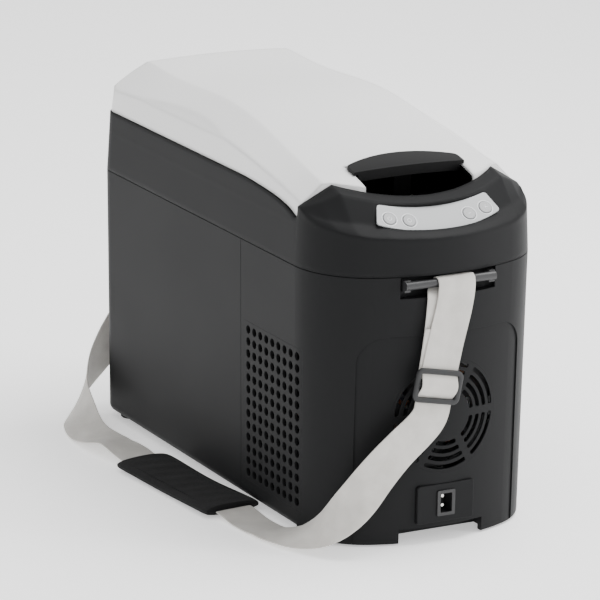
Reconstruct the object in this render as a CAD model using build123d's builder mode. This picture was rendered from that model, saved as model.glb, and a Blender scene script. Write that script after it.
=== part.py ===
from build123d import *
import os
from math import atan2, cos, degrees, pi, radians, sin, sqrt

os.makedirs("parts", exist_ok=True)

# Portable compressor cooler.  Millimetres.  +X points to the control and fan end, +Z up,
# origin on the floor under the middle of the body.

# ---- overall body ----
LENGTH = 500.0            # rear wall to the nose of the bowed front
WIDTH = 235.0             # across the side walls at the seam
BASE_Z = 6.0              # underside of the body above the floor
SKIRT_Z = 1.5             # lowest edge of the two front corner skirts
SEAM_Z = 257.0            # joint between the lower shells and the collar
EDGE_Z = 316.0            # top edge of the collar along the sides
FRONT_BOW = 41.7          # bow of the front wall over the full width
FRONT_ROUND = 73.5        # plan radius of the front corners
REAR_ROUND = 24.0         # plan radius of the rear corners
BODY_DRAFT = 3.3          # narrowing of the body from seam to base, each side
COLLAR_LEAN = 3.0         # lean-in of the collar from seam to top edge
WALL = 3.0                # moulded shell thickness
SEAM_GAP = 0.6            # shadow gap between shells
GROOVE_X = LENGTH / 2 - 190.0  # joint between rear shell and compressor housing
FIT = 0.3                 # general clearance between fitted pieces

# ---- collar, mouth and console ----
FLANGE_Z = 295.5          # underside of the flange that carries the liner
FLANGE_T = 3.0
MOUTH_REAR_X = -LENGTH / 2 + 28.0
MOUTH_FRONT_X = LENGTH / 2 - 118.0
MOUTH_HALF_Y = 88.0
MOUTH_ROUND = 22.0
RIDGE_X = LENGTH / 2 - 49.0       # crest of the console on the centre line
RIDGE_END_X = LENGTH / 2 - 77.5   # crest at the two peaks
RIDGE_HALF_Y = 84.0
RIDGE_SIDE_X = LENGTH / 2 - 84.5  # crest where it meets the side wall
RIDGE_Z = 319.5
RIDGE_PEAK_Z = 331.0
RIDGE_SIDE_Z = 311.0
RIM_Z = 294.6             # rim of the console at the nose
RIM_ROUND = 6.0           # width of the soft edge between rim and front wall
RIM_SLOPE = 0.215         # rise of the rim towards the rear
EDGE_DIP_X = LENGTH / 2 - 203.0   # where the collar edge starts to dip
EDGE_DIP_Z = 301.0        # lowest point of the dipped edge
REVEAL = 0.8              # shadow gap between lid and collar

# ---- lid ----
LID_WALL = 2.5
LID_HEIGHT = 369.0        # crown of the lid above the floor
LID_SHOULDER_Y = 111.0    # half width at the lower crease
LID_STATIONS = (          # x, lower crease z, upper crease y, its drop and the crown's drop from the top
    (-LENGTH / 2 - 6, 338.0, 76.0, 9.0, 6.0),
    (-0.32 * LENGTH, 341.9, 78.0, 6.2, 3.0),
    (-0.14 * LENGTH, 344.8, 79.5, 4.2, 0.5),
    (0, 342.0, 81.5, 7.2, 3.2),
    (LENGTH / 2 - 175, 333.2, 84.5, 20.5, 16.0),
    (LENGTH / 2 - 105, 319.5, 90.0, 32.6, 28.0),
    (LENGTH / 2 - 44, 303.5, 94.0, 50.5, 48.5),
)

# ---- vents, fan and front panel ----
VENT_COLUMNS = 9
VENT_ROWS = 13
VENT_PITCH_X = 12.1
VENT_PITCH_Z = 11.7
VENT_HOLE = 8.0
VENT_X = LENGTH / 2 - 126.4
VENT_Z = 102.4
FAN_Z = 121.5
GRILLE_R = 54.0
SLOT_RADII = (49.2, 41.6, 34.2, 26.8)
SLOT_W = 4.3
SPOKE_W = 7.0
PANEL_HALF_Y = 85.0
PANEL_TOP_Z = 201.0
PANEL_ROUND = 26.0
PANEL_DEPTH = 1.2
NOTCH_HALF_Y = 44.0
NOTCH_TOP_Z = 15.5
NOTCH_DEPTH = 24.0

# ---- inside ----
SHELF_Z = 192.0           # underside of the shelf that carries the shallow end of the liner
SHELF_END_X = LENGTH / 2 - 60.0
STEP_X = LENGTH / 2 - 222.0  # step between the deep and the shallow end of the liner
LINER_FLOOR_Z = 40.0
LINER_STEP_Z = 228.0
LINER_T = 1.5
BASE_ROUND = 8.0
BASE_LIP = 14.0           # width of the lip that holds the base plate
FAN_X = LENGTH / 2 - 31.5  # middle of the fan along its axis
FAN_HALF = 12.5           # half its depth
FAN_FRAME = 106.0         # side of the square frame
FAN_BORE_R = 49.0
FAN_HUB_R = 18.0
BLADES = 7

# ---- fascia and buttons ----
FASCIA_X = LENGTH / 2 - 25.1
FASCIA_Z = 303.2
FASCIA_TILT = 42.3
FASCIA_T = 1.5
FASCIA_TOP = (56.4, 22.0, 13.4)      # half width at the upper corners, their height, height at the middle
FASCIA_LOW = (64.3, 1.2, -13.2)
BUTTON_R = 6.0
BUTTON_TRAVEL = 0.8
BUTTONS = (("power", -50.0, 5.2), ("select", -31.3, 0.8), ("colder", 31.3, 0.8), ("warmer", 50.0, 5.2))

# ---- lid latch ----
HANDLE_FRONT_X = LENGTH / 2 - 82.0
HANDLE_REAR_X = LENGTH / 2 - 111.0
HANDLE_HALF_Y = 58.0
HANDLE_SIDE_X = LENGTH / 2 - 97.0
HANDLE_PROUD = 3.6
POCKET_HALF_Y = 56.5
POCKET_REAR_X = LENGTH / 2 - 104.0
PIVOT_X = LENGTH / 2 - 105.8
PIVOT_Z = 338.2
PIVOT_R = 1.5

# ---- hinge ----
HINGE_R = 4.5
HINGE_PIN_R = 2.0
HINGE_Y = 62.0
HINGE_BACK = 2.0          # hinge axis behind the rear wall plane

# ---- strap fittings ----
BAR_R = 4.0
BAR_Z = 249.5
BAR_HALF_Y = 47.0
BAR_SET = 3.2             # bar axis behind the end wall plane
POCKET_DEPTH = 12.5
POCKET_LOW_Z = 237.0
WEB_W = 38.0
WEB_T = 1.6

BOW_R = ((WIDTH / 2) ** 2 + FRONT_BOW**2) / (2 * FRONT_BOW)
BOW_X = LENGTH / 2 - BOW_R
REAR_X = -LENGTH / 2
NOSE_X = LENGTH / 2
FLANGE_TOP = FLANGE_Z + FLANGE_T


def wall_inset(z):
    """Inward draft of the outer wall at a height: down to the base, and up to the collar edge."""
    if z <= SEAM_Z:
        return BODY_DRAFT * (SEAM_Z - z) / (SEAM_Z - BASE_Z)
    return COLLAR_LEAN * (z - SEAM_Z) / (EDGE_Z - SEAM_Z)


def wall_x(y, inset=0.0):
    """X of the front wall at a given Y, with its corner rounds."""
    half_w, bow, corner = WIDTH / 2 - inset, BOW_R - inset, FRONT_ROUND - inset
    corner_y = half_w - corner
    corner_x = BOW_X + sqrt((bow - corner) ** 2 - corner_y**2)
    tangent_y = corner_y * bow / (bow - corner)
    y = abs(y)
    if y <= tangent_y:
        return BOW_X + sqrt(bow**2 - y**2)
    return corner_x + sqrt(max(corner**2 - (y - corner_y) ** 2, 0.0))


def plan_face(z, inset=0.0):
    """Body outline at a height: straight sides, round rear corners and a bowed front."""
    inset += wall_inset(z)
    half_w = WIDTH / 2 - inset
    side_x = BOW_X + sqrt((BOW_R - inset) ** 2 - half_w**2)
    with BuildSketch(Plane.XY.offset(z), mode=Mode.PRIVATE) as outline:
        with BuildLine():
            Polyline((side_x, -half_w), (REAR_X + inset, -half_w), (REAR_X + inset, half_w), (side_x, half_w))
            ThreePointArc((side_x, half_w), (NOSE_X - inset, 0), (side_x, -half_w))
        make_face()
        fillet(outline.vertices().group_by(Axis.X)[-1], FRONT_ROUND - inset)
        fillet(outline.vertices().group_by(Axis.X)[0], max(REAR_ROUND - inset, 3.0))
    return outline.sketch


def block(low, high, inset=0.0):
    """Solid between two heights inside the drafted outline."""
    with BuildPart(mode=Mode.PRIVATE) as body:
        loft([plan_face(low, inset), plan_face(high, inset)], ruled=True)
    return body.part


def slab(x_low, x_high, y_half, z_low, z_high):
    """Box between two X, symmetric in Y, between two Z."""
    with BuildPart(mode=Mode.PRIVATE) as body:
        with BuildSketch(Plane.XY.offset(z_low)):
            with Locations(((x_low + x_high) / 2, 0)):
                Rectangle(x_high - x_low, 2 * y_half)
        extrude(amount=z_high - z_low)
    return body.part


def ridge_line(side_y):
    """Plan points of the console crest: straight to the peak, arc over the nose, straight back."""
    Line((RIDGE_SIDE_X, -side_y), (RIDGE_END_X, -RIDGE_HALF_Y))
    ThreePointArc((RIDGE_END_X, -RIDGE_HALF_Y), (RIDGE_X, 0), (RIDGE_END_X, RIDGE_HALF_Y))
    Line((RIDGE_END_X, RIDGE_HALF_Y), (RIDGE_SIDE_X, side_y))


def lid_side(z_low, z_high, back=0.0):
    """Everything behind the console crest, moved back by a gap."""
    side_y = WIDTH / 2 + 20
    with BuildPart(mode=Mode.PRIVATE) as body:
        with BuildSketch(Plane.XY.offset(z_low)) as plan:
            with BuildLine(Plane((-back, 0, 0))):
                ridge_line(WIDTH / 2)
                Polyline(
                    (RIDGE_SIDE_X, WIDTH / 2),
                    (RIDGE_SIDE_X, side_y),
                    (REAR_X - 20, side_y),
                    (REAR_X - 20, -side_y),
                    (RIDGE_SIDE_X, -side_y),
                    (RIDGE_SIDE_X, -WIDTH / 2),
                )
            make_face()
        extrude(amount=z_high - z_low)
    return body.part


def under_edge(lift=0.0):
    """Everything below the collar's top edge, which dips towards the console, raised by a lift."""
    y_half = WIDTH / 2 + 20
    with BuildPart(mode=Mode.PRIVATE) as body:
        with BuildSketch(Plane.XZ.offset(-y_half)):
            with BuildLine():
                Polyline(
                    (EDGE_DIP_X, EDGE_Z),
                    (REAR_X - 30, EDGE_Z),
                    (REAR_X - 30, SEAM_Z - 10),
                    (RIDGE_SIDE_X + 0.5, SEAM_Z - 10),
                    (RIDGE_SIDE_X + 0.5, EDGE_DIP_Z + 4),
                )
                RadiusArc(
                    (RIDGE_SIDE_X + 0.5, EDGE_DIP_Z + 4), (RIDGE_SIDE_X - 6, EDGE_DIP_Z + 0.6), 4.4
                )
                Spline(
                    (RIDGE_SIDE_X - 6, EDGE_DIP_Z + 0.6),
                    (EDGE_DIP_X + 63, 312.4),
                    (EDGE_DIP_X, EDGE_Z),
                    tangents=((-1, 0.45), (-1, 0)),
                )
            make_face()
        extrude(amount=2 * y_half)
    return body.part.moved(Location((0, 0, lift)))


def console_section(y, drop, back):
    """Cross-section of the console at a Y: crest, shoulder, foot of the fascia slope and rim."""
    reach = min(abs(y), WIDTH / 2)
    crest_r = ((RIDGE_X - RIDGE_END_X) ** 2 + RIDGE_HALF_Y**2) / (2 * (RIDGE_X - RIDGE_END_X))
    if reach <= RIDGE_HALF_Y:
        crest_x = RIDGE_X - crest_r + sqrt(crest_r**2 - reach**2)
        crest_z = RIDGE_Z + (RIDGE_PEAK_Z - RIDGE_Z) * (reach / RIDGE_HALF_Y) ** 2
    else:
        share = (reach - RIDGE_HALF_Y) / (WIDTH / 2 - RIDGE_HALF_Y)
        crest_x = RIDGE_END_X + share * (RIDGE_SIDE_X - RIDGE_END_X)
        crest_z = RIDGE_PEAK_Z + share * (RIDGE_SIDE_Z - RIDGE_PEAK_Z)
    nose = wall_x(reach, wall_inset(RIM_Z))
    rim_x = max(nose - RIM_ROUND, crest_x + RIM_ROUND / 2)
    rim_z = RIM_Z + RIM_SLOPE * (NOSE_X - nose)
    run, fall = rim_x - crest_x, crest_z - rim_z
    with BuildSketch(Plane((0, y, 0), x_dir=(1, 0, 0), z_dir=(0, -1, 0)), mode=Mode.PRIVATE) as section:
        with BuildLine():
            Polyline(
                (crest_x + back, SEAM_Z - 1),
                (crest_x + back, crest_z - drop),
                (crest_x + 0.37 * run, crest_z - 0.16 * fall - drop),
                (crest_x + 0.80 * run, crest_z - 0.85 * fall - drop),
                (rim_x, rim_z - drop),
                (nose + 8, rim_z - 9 - drop),
                (nose + 8, SEAM_Z - 1),
                close=True,
            )
        make_face()
    return section.sketch


def console_form(drop=0.0, back=0.0, reach=WIDTH / 2 + 4):
    """Console block in front of the crest, lofted across the body and lowered by a drop."""
    stations = [0, 30, 57, RIDGE_HALF_Y, 100, 111, WIDTH / 2, reach]
    stations = [-y for y in reversed(stations[1:])] + stations
    with BuildPart(mode=Mode.PRIVATE) as body:
        loft([console_section(y, drop, back) for y in stations], ruled=True)
    return body.part


def lid_section(x, low_z, high_y, high_z, crown_z, inset):
    """Cross-section of the lid: skirt, lower crease, upper crease and crowned top."""
    skirt_y = LID_SHOULDER_Y + (low_z - 290) * 0.135
    with BuildSketch(Plane.YZ.offset(x), mode=Mode.PRIVATE) as section:
        with BuildLine():
            Polyline(
                (-high_y + 0.5 * inset, high_z - inset),
                (-LID_SHOULDER_Y + inset, low_z - 0.6 * inset),
                (-skirt_y + inset, 290),
                (skirt_y - inset, 290),
                (LID_SHOULDER_Y - inset, low_z - 0.6 * inset),
                (high_y - 0.5 * inset, high_z - inset),
            )
            ThreePointArc(
                (high_y - 0.5 * inset, high_z - inset),
                (0, crown_z - inset),
                (-high_y + 0.5 * inset, high_z - inset),
            )
        make_face()
    return section.sketch


def rear_face(z, rake, inset):
    """Plan outline used to rake the rear of the lid."""
    return plan_face(EDGE_Z, rake + inset + (0 if z > 300 else -1.5)).moved(Location((0, 0, z - EDGE_Z)))


def lid_form(inset=0.0):
    """Closed lid volume, moved inward by an inset: lofted top, raked and rounded rear."""
    top = LID_HEIGHT
    sections = [
        lid_section(x, low_z, high_y, top - high_drop, top - crown_drop, inset)
        for x, low_z, high_y, high_drop, crown_drop in LID_STATIONS
    ]
    with BuildPart(mode=Mode.PRIVATE) as rear:
        loft([rear_face(290, 0, inset), rear_face(341, 4, inset)], ruled=True)
        loft([rear_face(341, 4, inset), rear_face(375, 33, inset)], ruled=True)
    with BuildPart(mode=Mode.PRIVATE) as body:
        loft(sections)
        add(rear.part, mode=Mode.INTERSECT)
        add(lid_side(285, 380, REVEAL + inset), mode=Mode.INTERSECT)
    return body.part



def rounded_slab(x_low, x_high, y_half, radius, z_low, z_high):
    """Box with rounded vertical edges, symmetric in Y."""
    with BuildPart(mode=Mode.PRIVATE) as body:
        with BuildSketch(Plane.XY.offset(z_low)):
            with Locations(((x_low + x_high) / 2, 0)):
                RectangleRounded(x_high - x_low, 2 * y_half, radius)
        extrude(amount=z_high - z_low)
    return body.part


def mouth(grow, z_low, z_high):
    """Rounded mouth opening, grown by a margin."""
    return rounded_slab(
        MOUTH_REAR_X - grow, MOUTH_FRONT_X + grow, MOUTH_HALF_Y + grow, MOUTH_ROUND + grow, z_low, z_high
    )


def strap_pocket(end, grow=0.0):
    """Recess for a strap bar under the seam at one end: +1 the nose, -1 the rear."""
    near = end * (LENGTH / 2 - POCKET_DEPTH - grow)
    far = end * (LENGTH / 2 + 10)
    return slab(min(near, far), max(near, far), BAR_HALF_Y + 2.5 + grow, POCKET_LOW_Z - grow, SEAM_Z)


def finish(piece, name):
    """Label a finished piece and write it."""
    piece.part.label = name
    export_step(piece.part, f"parts/{name}.step")


# ---- rear shell: moulded tub of the insulated section, with a bulkhead to the compressor ----
BULKHEAD_X = GROOVE_X - SEAM_GAP / 2

with BuildPart() as rear_room:
    add(block(BASE_Z + WALL, SEAM_Z, WALL))
    split(bisect_by=Plane.YZ.offset(BULKHEAD_X - WALL), keep=Keep.BOTTOM)
    add(strap_pocket(-1, WALL), mode=Mode.SUBTRACT)

with BuildPart() as rear_shell:
    add(block(BASE_Z, SEAM_Z))
    fillet(rear_shell.edges().group_by(Axis.Z)[0], BASE_ROUND)
    split(bisect_by=Plane.YZ.offset(BULKHEAD_X), keep=Keep.BOTTOM)
    add(rear_room.part, mode=Mode.SUBTRACT)
    add(strap_pocket(-1), mode=Mode.SUBTRACT)
    add(
        block(SHELF_Z, SEAM_Z, WALL) & slab(BULKHEAD_X - 10, BULKHEAD_X + 10, WIDTH, SHELF_Z, SEAM_Z),
        mode=Mode.SUBTRACT,
    )
finish(rear_shell, "rear_shell")

# ---- compressor housing: bowed front shell with grille, inlet window and corner skirts ----
HOUSING_X = GROOVE_X + SEAM_GAP / 2

with BuildPart() as front_prism:
    with BuildSketch(Plane.YZ.offset(NOSE_X - 50)) as front_outline:
        with Locations((0, PANEL_TOP_Z / 2 - 10)):
            Rectangle(2 * PANEL_HALF_Y, PANEL_TOP_Z + 20)
        fillet(front_outline.vertices().group_by(Axis.Z)[-1], PANEL_ROUND)
    extrude(amount=60)

with BuildPart() as front_recess:
    add(front_prism.part)
    add(block(0, SEAM_Z, PANEL_DEPTH), mode=Mode.SUBTRACT)

with BuildPart() as skirts:
    add(block(SKIRT_Z, BASE_Z + BASE_ROUND))
    fillet(skirts.edges().group_by(Axis.Z)[0], 3)
    add(block(SKIRT_Z, BASE_Z + BASE_ROUND, BASE_ROUND), mode=Mode.SUBTRACT)
    add(slab(REAR_X - 10, NOSE_X - 78, WIDTH, 0, 30), mode=Mode.SUBTRACT)
    with BuildSketch(Plane.XZ.offset(-WIDTH)):
        with BuildLine():
            Polyline(
                (NOSE_X - 100, 0), (NOSE_X - 100, BASE_Z), (NOSE_X - 78, BASE_Z), (NOSE_X - 58, 0), close=True
            )
        make_face()
    extrude(amount=2 * WIDTH, mode=Mode.SUBTRACT)

with BuildPart() as housing_room:
    add(block(BASE_Z + WALL, SEAM_Z, WALL))
    add(strap_pocket(1, WALL), mode=Mode.SUBTRACT)
    add(slab(NOSE_X - NOTCH_DEPTH - WALL, NOSE_X, NOTCH_HALF_Y + WALL, 0, NOTCH_TOP_Z + WALL), mode=Mode.SUBTRACT)
    add(slab(REAR_X, SHELF_END_X, WIDTH / 2, SHELF_Z, SHELF_Z + WALL), mode=Mode.SUBTRACT)

with BuildPart() as base_opening:
    add(block(BASE_Z, BASE_Z + WALL, BASE_LIP))
    add(slab(REAR_X, HOUSING_X + 5, WIDTH, 0, 20), mode=Mode.SUBTRACT)
    add(slab(NOSE_X - NOTCH_DEPTH - 2 * WALL, NOSE_X, NOTCH_HALF_Y + 2 * WALL, 0, 20), mode=Mode.SUBTRACT)


def vent_window(side):
    """Rectangular field of a vent grille through one side wall."""
    width = (VENT_COLUMNS - 1) * VENT_PITCH_X + 2 * VENT_HOLE
    height = (VENT_ROWS - 1) * VENT_PITCH_Z + 2 * VENT_HOLE
    with BuildPart(mode=Mode.PRIVATE) as body:
        with BuildSketch(Plane.XZ.offset(-side * (WIDTH / 2 + 5))):
            with Locations((VENT_X, VENT_Z)):
                Rectangle(width, height)
        extrude(amount=side * 25)
    return body.part


with BuildPart() as grille_disc:
    with BuildSketch(Plane.YZ.offset(NOSE_X - 25)):
        with Locations((0, FAN_Z)):
            Circle(GRILLE_R)
    extrude(amount=40)

INLET_Y, INLET_Z = 0.8, 38.0
INLET_W, INLET_H = 60.0, 37.0

with BuildPart() as inlet_window:
    with BuildSketch(Plane.YZ.offset(NOSE_X - 25)):
        with Locations((INLET_Y, INLET_Z)):
            RectangleRounded(INLET_W, INLET_H, 3)
    extrude(amount=40)

with BuildPart() as compressor_housing:
    add(block(BASE_Z, SEAM_Z))
    fillet(compressor_housing.edges().group_by(Axis.Z)[0], BASE_ROUND)
    add(skirts.part)
    add(front_recess.part, mode=Mode.SUBTRACT)
    split(bisect_by=Plane.YZ.offset(HOUSING_X), keep=Keep.TOP)
    add(housing_room.part, mode=Mode.SUBTRACT)
    add(base_opening.part, mode=Mode.SUBTRACT)
    add(strap_pocket(1), mode=Mode.SUBTRACT)
    add(slab(NOSE_X - NOTCH_DEPTH, NOSE_X + 10, NOTCH_HALF_Y, -5, NOTCH_TOP_Z), mode=Mode.SUBTRACT)
    add(grille_disc.part, mode=Mode.SUBTRACT)
    add(inlet_window.part, mode=Mode.SUBTRACT)
    for side in (-1, 1):
        add(vent_window(side), mode=Mode.SUBTRACT)
finish(compressor_housing, "compressor_housing")

# ---- vent grilles: flush fields of round holes, one in each side wall ----
with BuildPart() as right_vent_grille:
    add(block(BASE_Z, SEAM_Z))
    add(block(BASE_Z, SEAM_Z, WALL), mode=Mode.SUBTRACT)
    add(vent_window(1), mode=Mode.INTERSECT)
    with BuildSketch(Plane.XZ.offset(-WIDTH / 2 - 5)):
        with Locations((VENT_X, VENT_Z)):
            with GridLocations(VENT_PITCH_X, VENT_PITCH_Z, VENT_COLUMNS, VENT_ROWS):
                Circle(VENT_HOLE / 2)
    extrude(amount=25, mode=Mode.SUBTRACT)
finish(right_vent_grille, "right_vent_grille")

with BuildPart() as left_vent_grille:
    mirror(right_vent_grille.part, about=Plane.XZ)
finish(left_vent_grille, "left_vent_grille")

# ---- fan grille: curved disc with rings of arc slots between spokes ----
with BuildPart() as fan_grille:
    add(block(BASE_Z, SEAM_Z, PANEL_DEPTH))
    add(block(BASE_Z, SEAM_Z, WALL), mode=Mode.SUBTRACT)
    add(grille_disc.part, mode=Mode.INTERSECT)
    with BuildSketch(Plane.YZ.offset(NOSE_X - 25)) as grille_slots:
        with Locations((0, FAN_Z)):
            for ring_r in SLOT_RADII:
                Circle(ring_r + SLOT_W / 2)
                Circle(ring_r - SLOT_W / 2, mode=Mode.SUBTRACT)
            for k in range(3):
                Rectangle(2 * GRILLE_R, SPOKE_W, rotation=60 * k, mode=Mode.SUBTRACT)
        fillet(grille_slots.vertices(), 0.4 * SLOT_W)
    extrude(amount=40, mode=Mode.SUBTRACT)
finish(fan_grille, "fan_grille")

# ---- base plate and feet ----
with BuildPart() as base_plate:
    add(block(BASE_Z, BASE_Z + WALL, BASE_LIP + FIT))
    add(slab(REAR_X, HOUSING_X + 5 + FIT, WIDTH, 0, 20), mode=Mode.SUBTRACT)
    add(slab(NOSE_X - NOTCH_DEPTH - 2 * WALL - FIT, NOSE_X, NOTCH_HALF_Y + 2 * WALL + FIT, 0, 20), mode=Mode.SUBTRACT)
finish(base_plate, "base_plate")

FOOT_R = 11.0
FEET = (
    ("rear_left_foot", REAR_X + 28, -94),
    ("rear_right_foot", REAR_X + 28, 94),
    ("front_left_foot", NOSE_X - 54, -72),
    ("front_right_foot", NOSE_X - 54, 72),
)
for name, x, y in FEET:
    with BuildPart() as foot:
        with BuildSketch():
            with Locations((x, y)):
                Circle(FOOT_R)
        extrude(amount=BASE_Z)
        chamfer(foot.edges().group_by(Axis.Z)[0], 1)
    finish(foot, name)

# ---- collar: upper frame with the mouth flange, hinge ears and the control console ----
FASCIA = Plane(
    (FASCIA_X, 0, FASCIA_Z),
    x_dir=(0, 1, 0),
    z_dir=(sin(radians(FASCIA_TILT)), 0, cos(radians(FASCIA_TILT))),
)
HINGE_X = REAR_X - HINGE_BACK


def fascia_face(level, grow):
    """Fascia outline on its tilted plane: two arcs joined by short ends, grown by a margin."""
    top_y, top_v, top_mid = [size + grow for size in FASCIA_TOP]
    low_y, low_v, low_mid = FASCIA_LOW[0] + grow, FASCIA_LOW[1] - grow, FASCIA_LOW[2] - grow
    with BuildSketch(FASCIA.offset(level), mode=Mode.PRIVATE) as outline:
        with BuildLine():
            ThreePointArc((-top_y, top_v), (0, top_mid), (top_y, top_v))
            Line((top_y, top_v), (low_y, low_v))
            ThreePointArc((low_y, low_v), (0, low_mid), (-low_y, low_v))
            Line((-low_y, low_v), (-top_y, top_v))
        make_face()
        fillet(outline.vertices(), 3)
    return outline.sketch


def hinge_barrel(y_mid, length, radius, drop=0.0):
    """Barrel along the hinge axis with an optional foot of material below it."""
    with BuildPart(mode=Mode.PRIVATE) as body:
        with BuildSketch(Plane.XZ.offset(-y_mid - length / 2)):
            with Locations((HINGE_X, EDGE_Z)):
                Circle(radius)
            if drop:
                with Locations((HINGE_X + HINGE_R, EDGE_Z - drop / 2)):
                    Rectangle(4 * HINGE_R, drop)
        extrude(amount=length)
    return body.part


with BuildPart() as collar_top:
    add(under_edge())
    add(console_form())

with BuildPart() as console_room:
    add(console_form(drop=7, back=WALL))
    add(block(SEAM_Z + SEAM_GAP, 335, WALL), mode=Mode.INTERSECT)

with BuildPart() as collar_room:
    add(block(SEAM_Z + SEAM_GAP, FLANGE_Z, WALL))
    add(lid_side(SEAM_Z, FLANGE_Z, -WALL - 0.1), mode=Mode.INTERSECT)

with BuildPart() as upper_room:
    add(block(FLANGE_TOP, 335, WALL))
    add(lid_side(FLANGE_TOP, 340), mode=Mode.INTERSECT)

with BuildPart() as flange:
    add(block(FLANGE_Z, FLANGE_TOP, 1))
    add(lid_side(FLANGE_Z, FLANGE_TOP, -1), mode=Mode.INTERSECT)

with BuildPart() as ears:
    for side in (-1, 1):
        for shift in (-12, 12):
            add(hinge_barrel(side * HINGE_Y + shift, 8, HINGE_R, 14))
    add(block(SEAM_Z, 335, WALL / 2), mode=Mode.SUBTRACT)

with BuildPart() as collar:
    add(block(SEAM_Z + SEAM_GAP, 335))
    add(collar_top.part, mode=Mode.INTERSECT)
    add(collar_room.part, mode=Mode.SUBTRACT)
    add(console_room.part, mode=Mode.SUBTRACT)
    add(upper_room.part, mode=Mode.SUBTRACT)
    add(flange.part)
    add(mouth(0, FLANGE_Z - 1, FLANGE_TOP + 1), mode=Mode.SUBTRACT)
    extrude(fascia_face(-FASCIA_T, 0.9), amount=20, mode=Mode.SUBTRACT)
    extrude(fascia_face(-12, -1.8), amount=20, mode=Mode.SUBTRACT)
    add(ears.part)
    for side in (-1, 1):
        add(hinge_barrel(side * HINGE_Y, 60, HINGE_PIN_R + 0.03), mode=Mode.SUBTRACT)
finish(collar, "collar")

# ---- food compartment: stepped liner, evaporator sheet and foam ----
LINER_GAP = 0.5           # liner to the edge of the mouth


def liner_solid(grow, floor_drop, top):
    """Stepped outside of the liner: deep end at the rear, shallow end over the compressor."""
    deep = rounded_slab(
        MOUTH_REAR_X + LINER_GAP - grow,
        STEP_X + grow,
        MOUTH_HALF_Y - LINER_GAP + grow,
        MOUTH_ROUND - LINER_GAP + grow,
        LINER_FLOOR_Z - floor_drop,
        top,
    )
    shallow = rounded_slab(
        MOUTH_REAR_X + LINER_GAP - grow,
        MOUTH_FRONT_X - LINER_GAP + grow,
        MOUTH_HALF_Y - LINER_GAP + grow,
        MOUTH_ROUND - LINER_GAP + grow,
        LINER_STEP_Z - floor_drop,
        top,
    )
    with BuildPart(mode=Mode.PRIVATE) as body:
        add(deep)
        add(shallow)
    return body.part


with BuildPart() as inner_liner:
    add(liner_solid(0, 0, FLANGE_TOP + LINER_T))
    add(mouth(7, FLANGE_TOP, FLANGE_TOP + LINER_T))
    add(liner_solid(-LINER_T, -LINER_T, FLANGE_TOP + LINER_T), mode=Mode.SUBTRACT)
finish(inner_liner, "inner_liner")

EVAPORATOR_T = 1.2
EVAPORATOR_LOW_Z = 70.0
EVAPORATOR_HIGH_Z = 205.0


def evaporator_wrap(grow):
    """Block around the deep end of the liner at the evaporator's height."""
    return rounded_slab(
        MOUTH_REAR_X + LINER_GAP - grow,
        STEP_X + 60,
        MOUTH_HALF_Y - LINER_GAP + grow,
        MOUTH_ROUND - LINER_GAP + grow,
        EVAPORATOR_LOW_Z,
        EVAPORATOR_HIGH_Z,
    )


with BuildPart() as evaporator_sheet:
    add(evaporator_wrap(FIT + EVAPORATOR_T))
    add(evaporator_wrap(FIT), mode=Mode.SUBTRACT)
    split(bisect_by=Plane.YZ.offset(STEP_X - MOUTH_ROUND - 4), keep=Keep.BOTTOM)
finish(evaporator_sheet, "evaporator_sheet")

with BuildPart() as foam_room:
    add(liner_solid(2 * FIT + EVAPORATOR_T, FIT, FLANGE_TOP))
    add(strap_pocket(-1, WALL + FIT))

with BuildPart() as foam_insulation:
    add(block(BASE_Z + WALL + FIT, SEAM_Z, WALL + FIT) & slab(REAR_X, BULKHEAD_X - WALL - FIT, WIDTH, 0, SEAM_Z))
    add(block(SHELF_Z + WALL + FIT, SEAM_Z, WALL + 2 * FIT) & slab(0, SHELF_END_X - 4, WIDTH, 0, SEAM_Z))
    add(block(SEAM_Z, FLANGE_Z - FIT, WALL + 2 * FIT) & slab(REAR_X, SHELF_END_X - 4, WIDTH, 0, FLANGE_Z))
    add(foam_room.part, mode=Mode.SUBTRACT)
finish(foam_insulation, "foam_insulation")

# ---- lid: crowned shell, foam, inner liner with a plug, gasket ----
def handle_opening(z_low, z_high, grow=0.0):
    """Opening in the lid under the latch handle, open to the console."""
    with BuildPart(mode=Mode.PRIVATE) as body:
        add(slab(POCKET_REAR_X - grow, RIDGE_X + 20, POCKET_HALF_Y + grow, z_low, z_high))
        add(slab(PIVOT_X - 3.4 - grow, RIDGE_X, 22 + grow, z_low, z_high))
    return body.part


LINER_PLATE_Z = 303.2
LINER_PLATE_T = 2.0
LID_FILL_HALF_Y = WIDTH / 2 - COLLAR_LEAN - WALL - 3 * FIT   # passes the collar's inner wall

with BuildPart() as knuckles:
    for side in (-1, 1):
        add(hinge_barrel(side * HINGE_Y, 15.4, HINGE_R))
        add(slab(HINGE_X, HINGE_X + 12, 7.7, EDGE_Z + REVEAL, EDGE_Z + HINGE_R).moved(Location((0, side * HINGE_Y, 0))))

with BuildPart() as lid_shell:
    add(lid_form())
    add(under_edge(REVEAL), mode=Mode.SUBTRACT)
    add(slab(RIDGE_SIDE_X - 1, NOSE_X, WIDTH, 280, 305), mode=Mode.SUBTRACT)
    add(knuckles.part)
    add(lid_form(LID_WALL), mode=Mode.SUBTRACT)
    add(handle_opening(300, 380), mode=Mode.SUBTRACT)
    for side in (-1, 1):
        add(hinge_barrel(side * HINGE_Y, 60, HINGE_PIN_R + 0.05), mode=Mode.SUBTRACT)
finish(lid_shell, "lid_shell")

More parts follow.
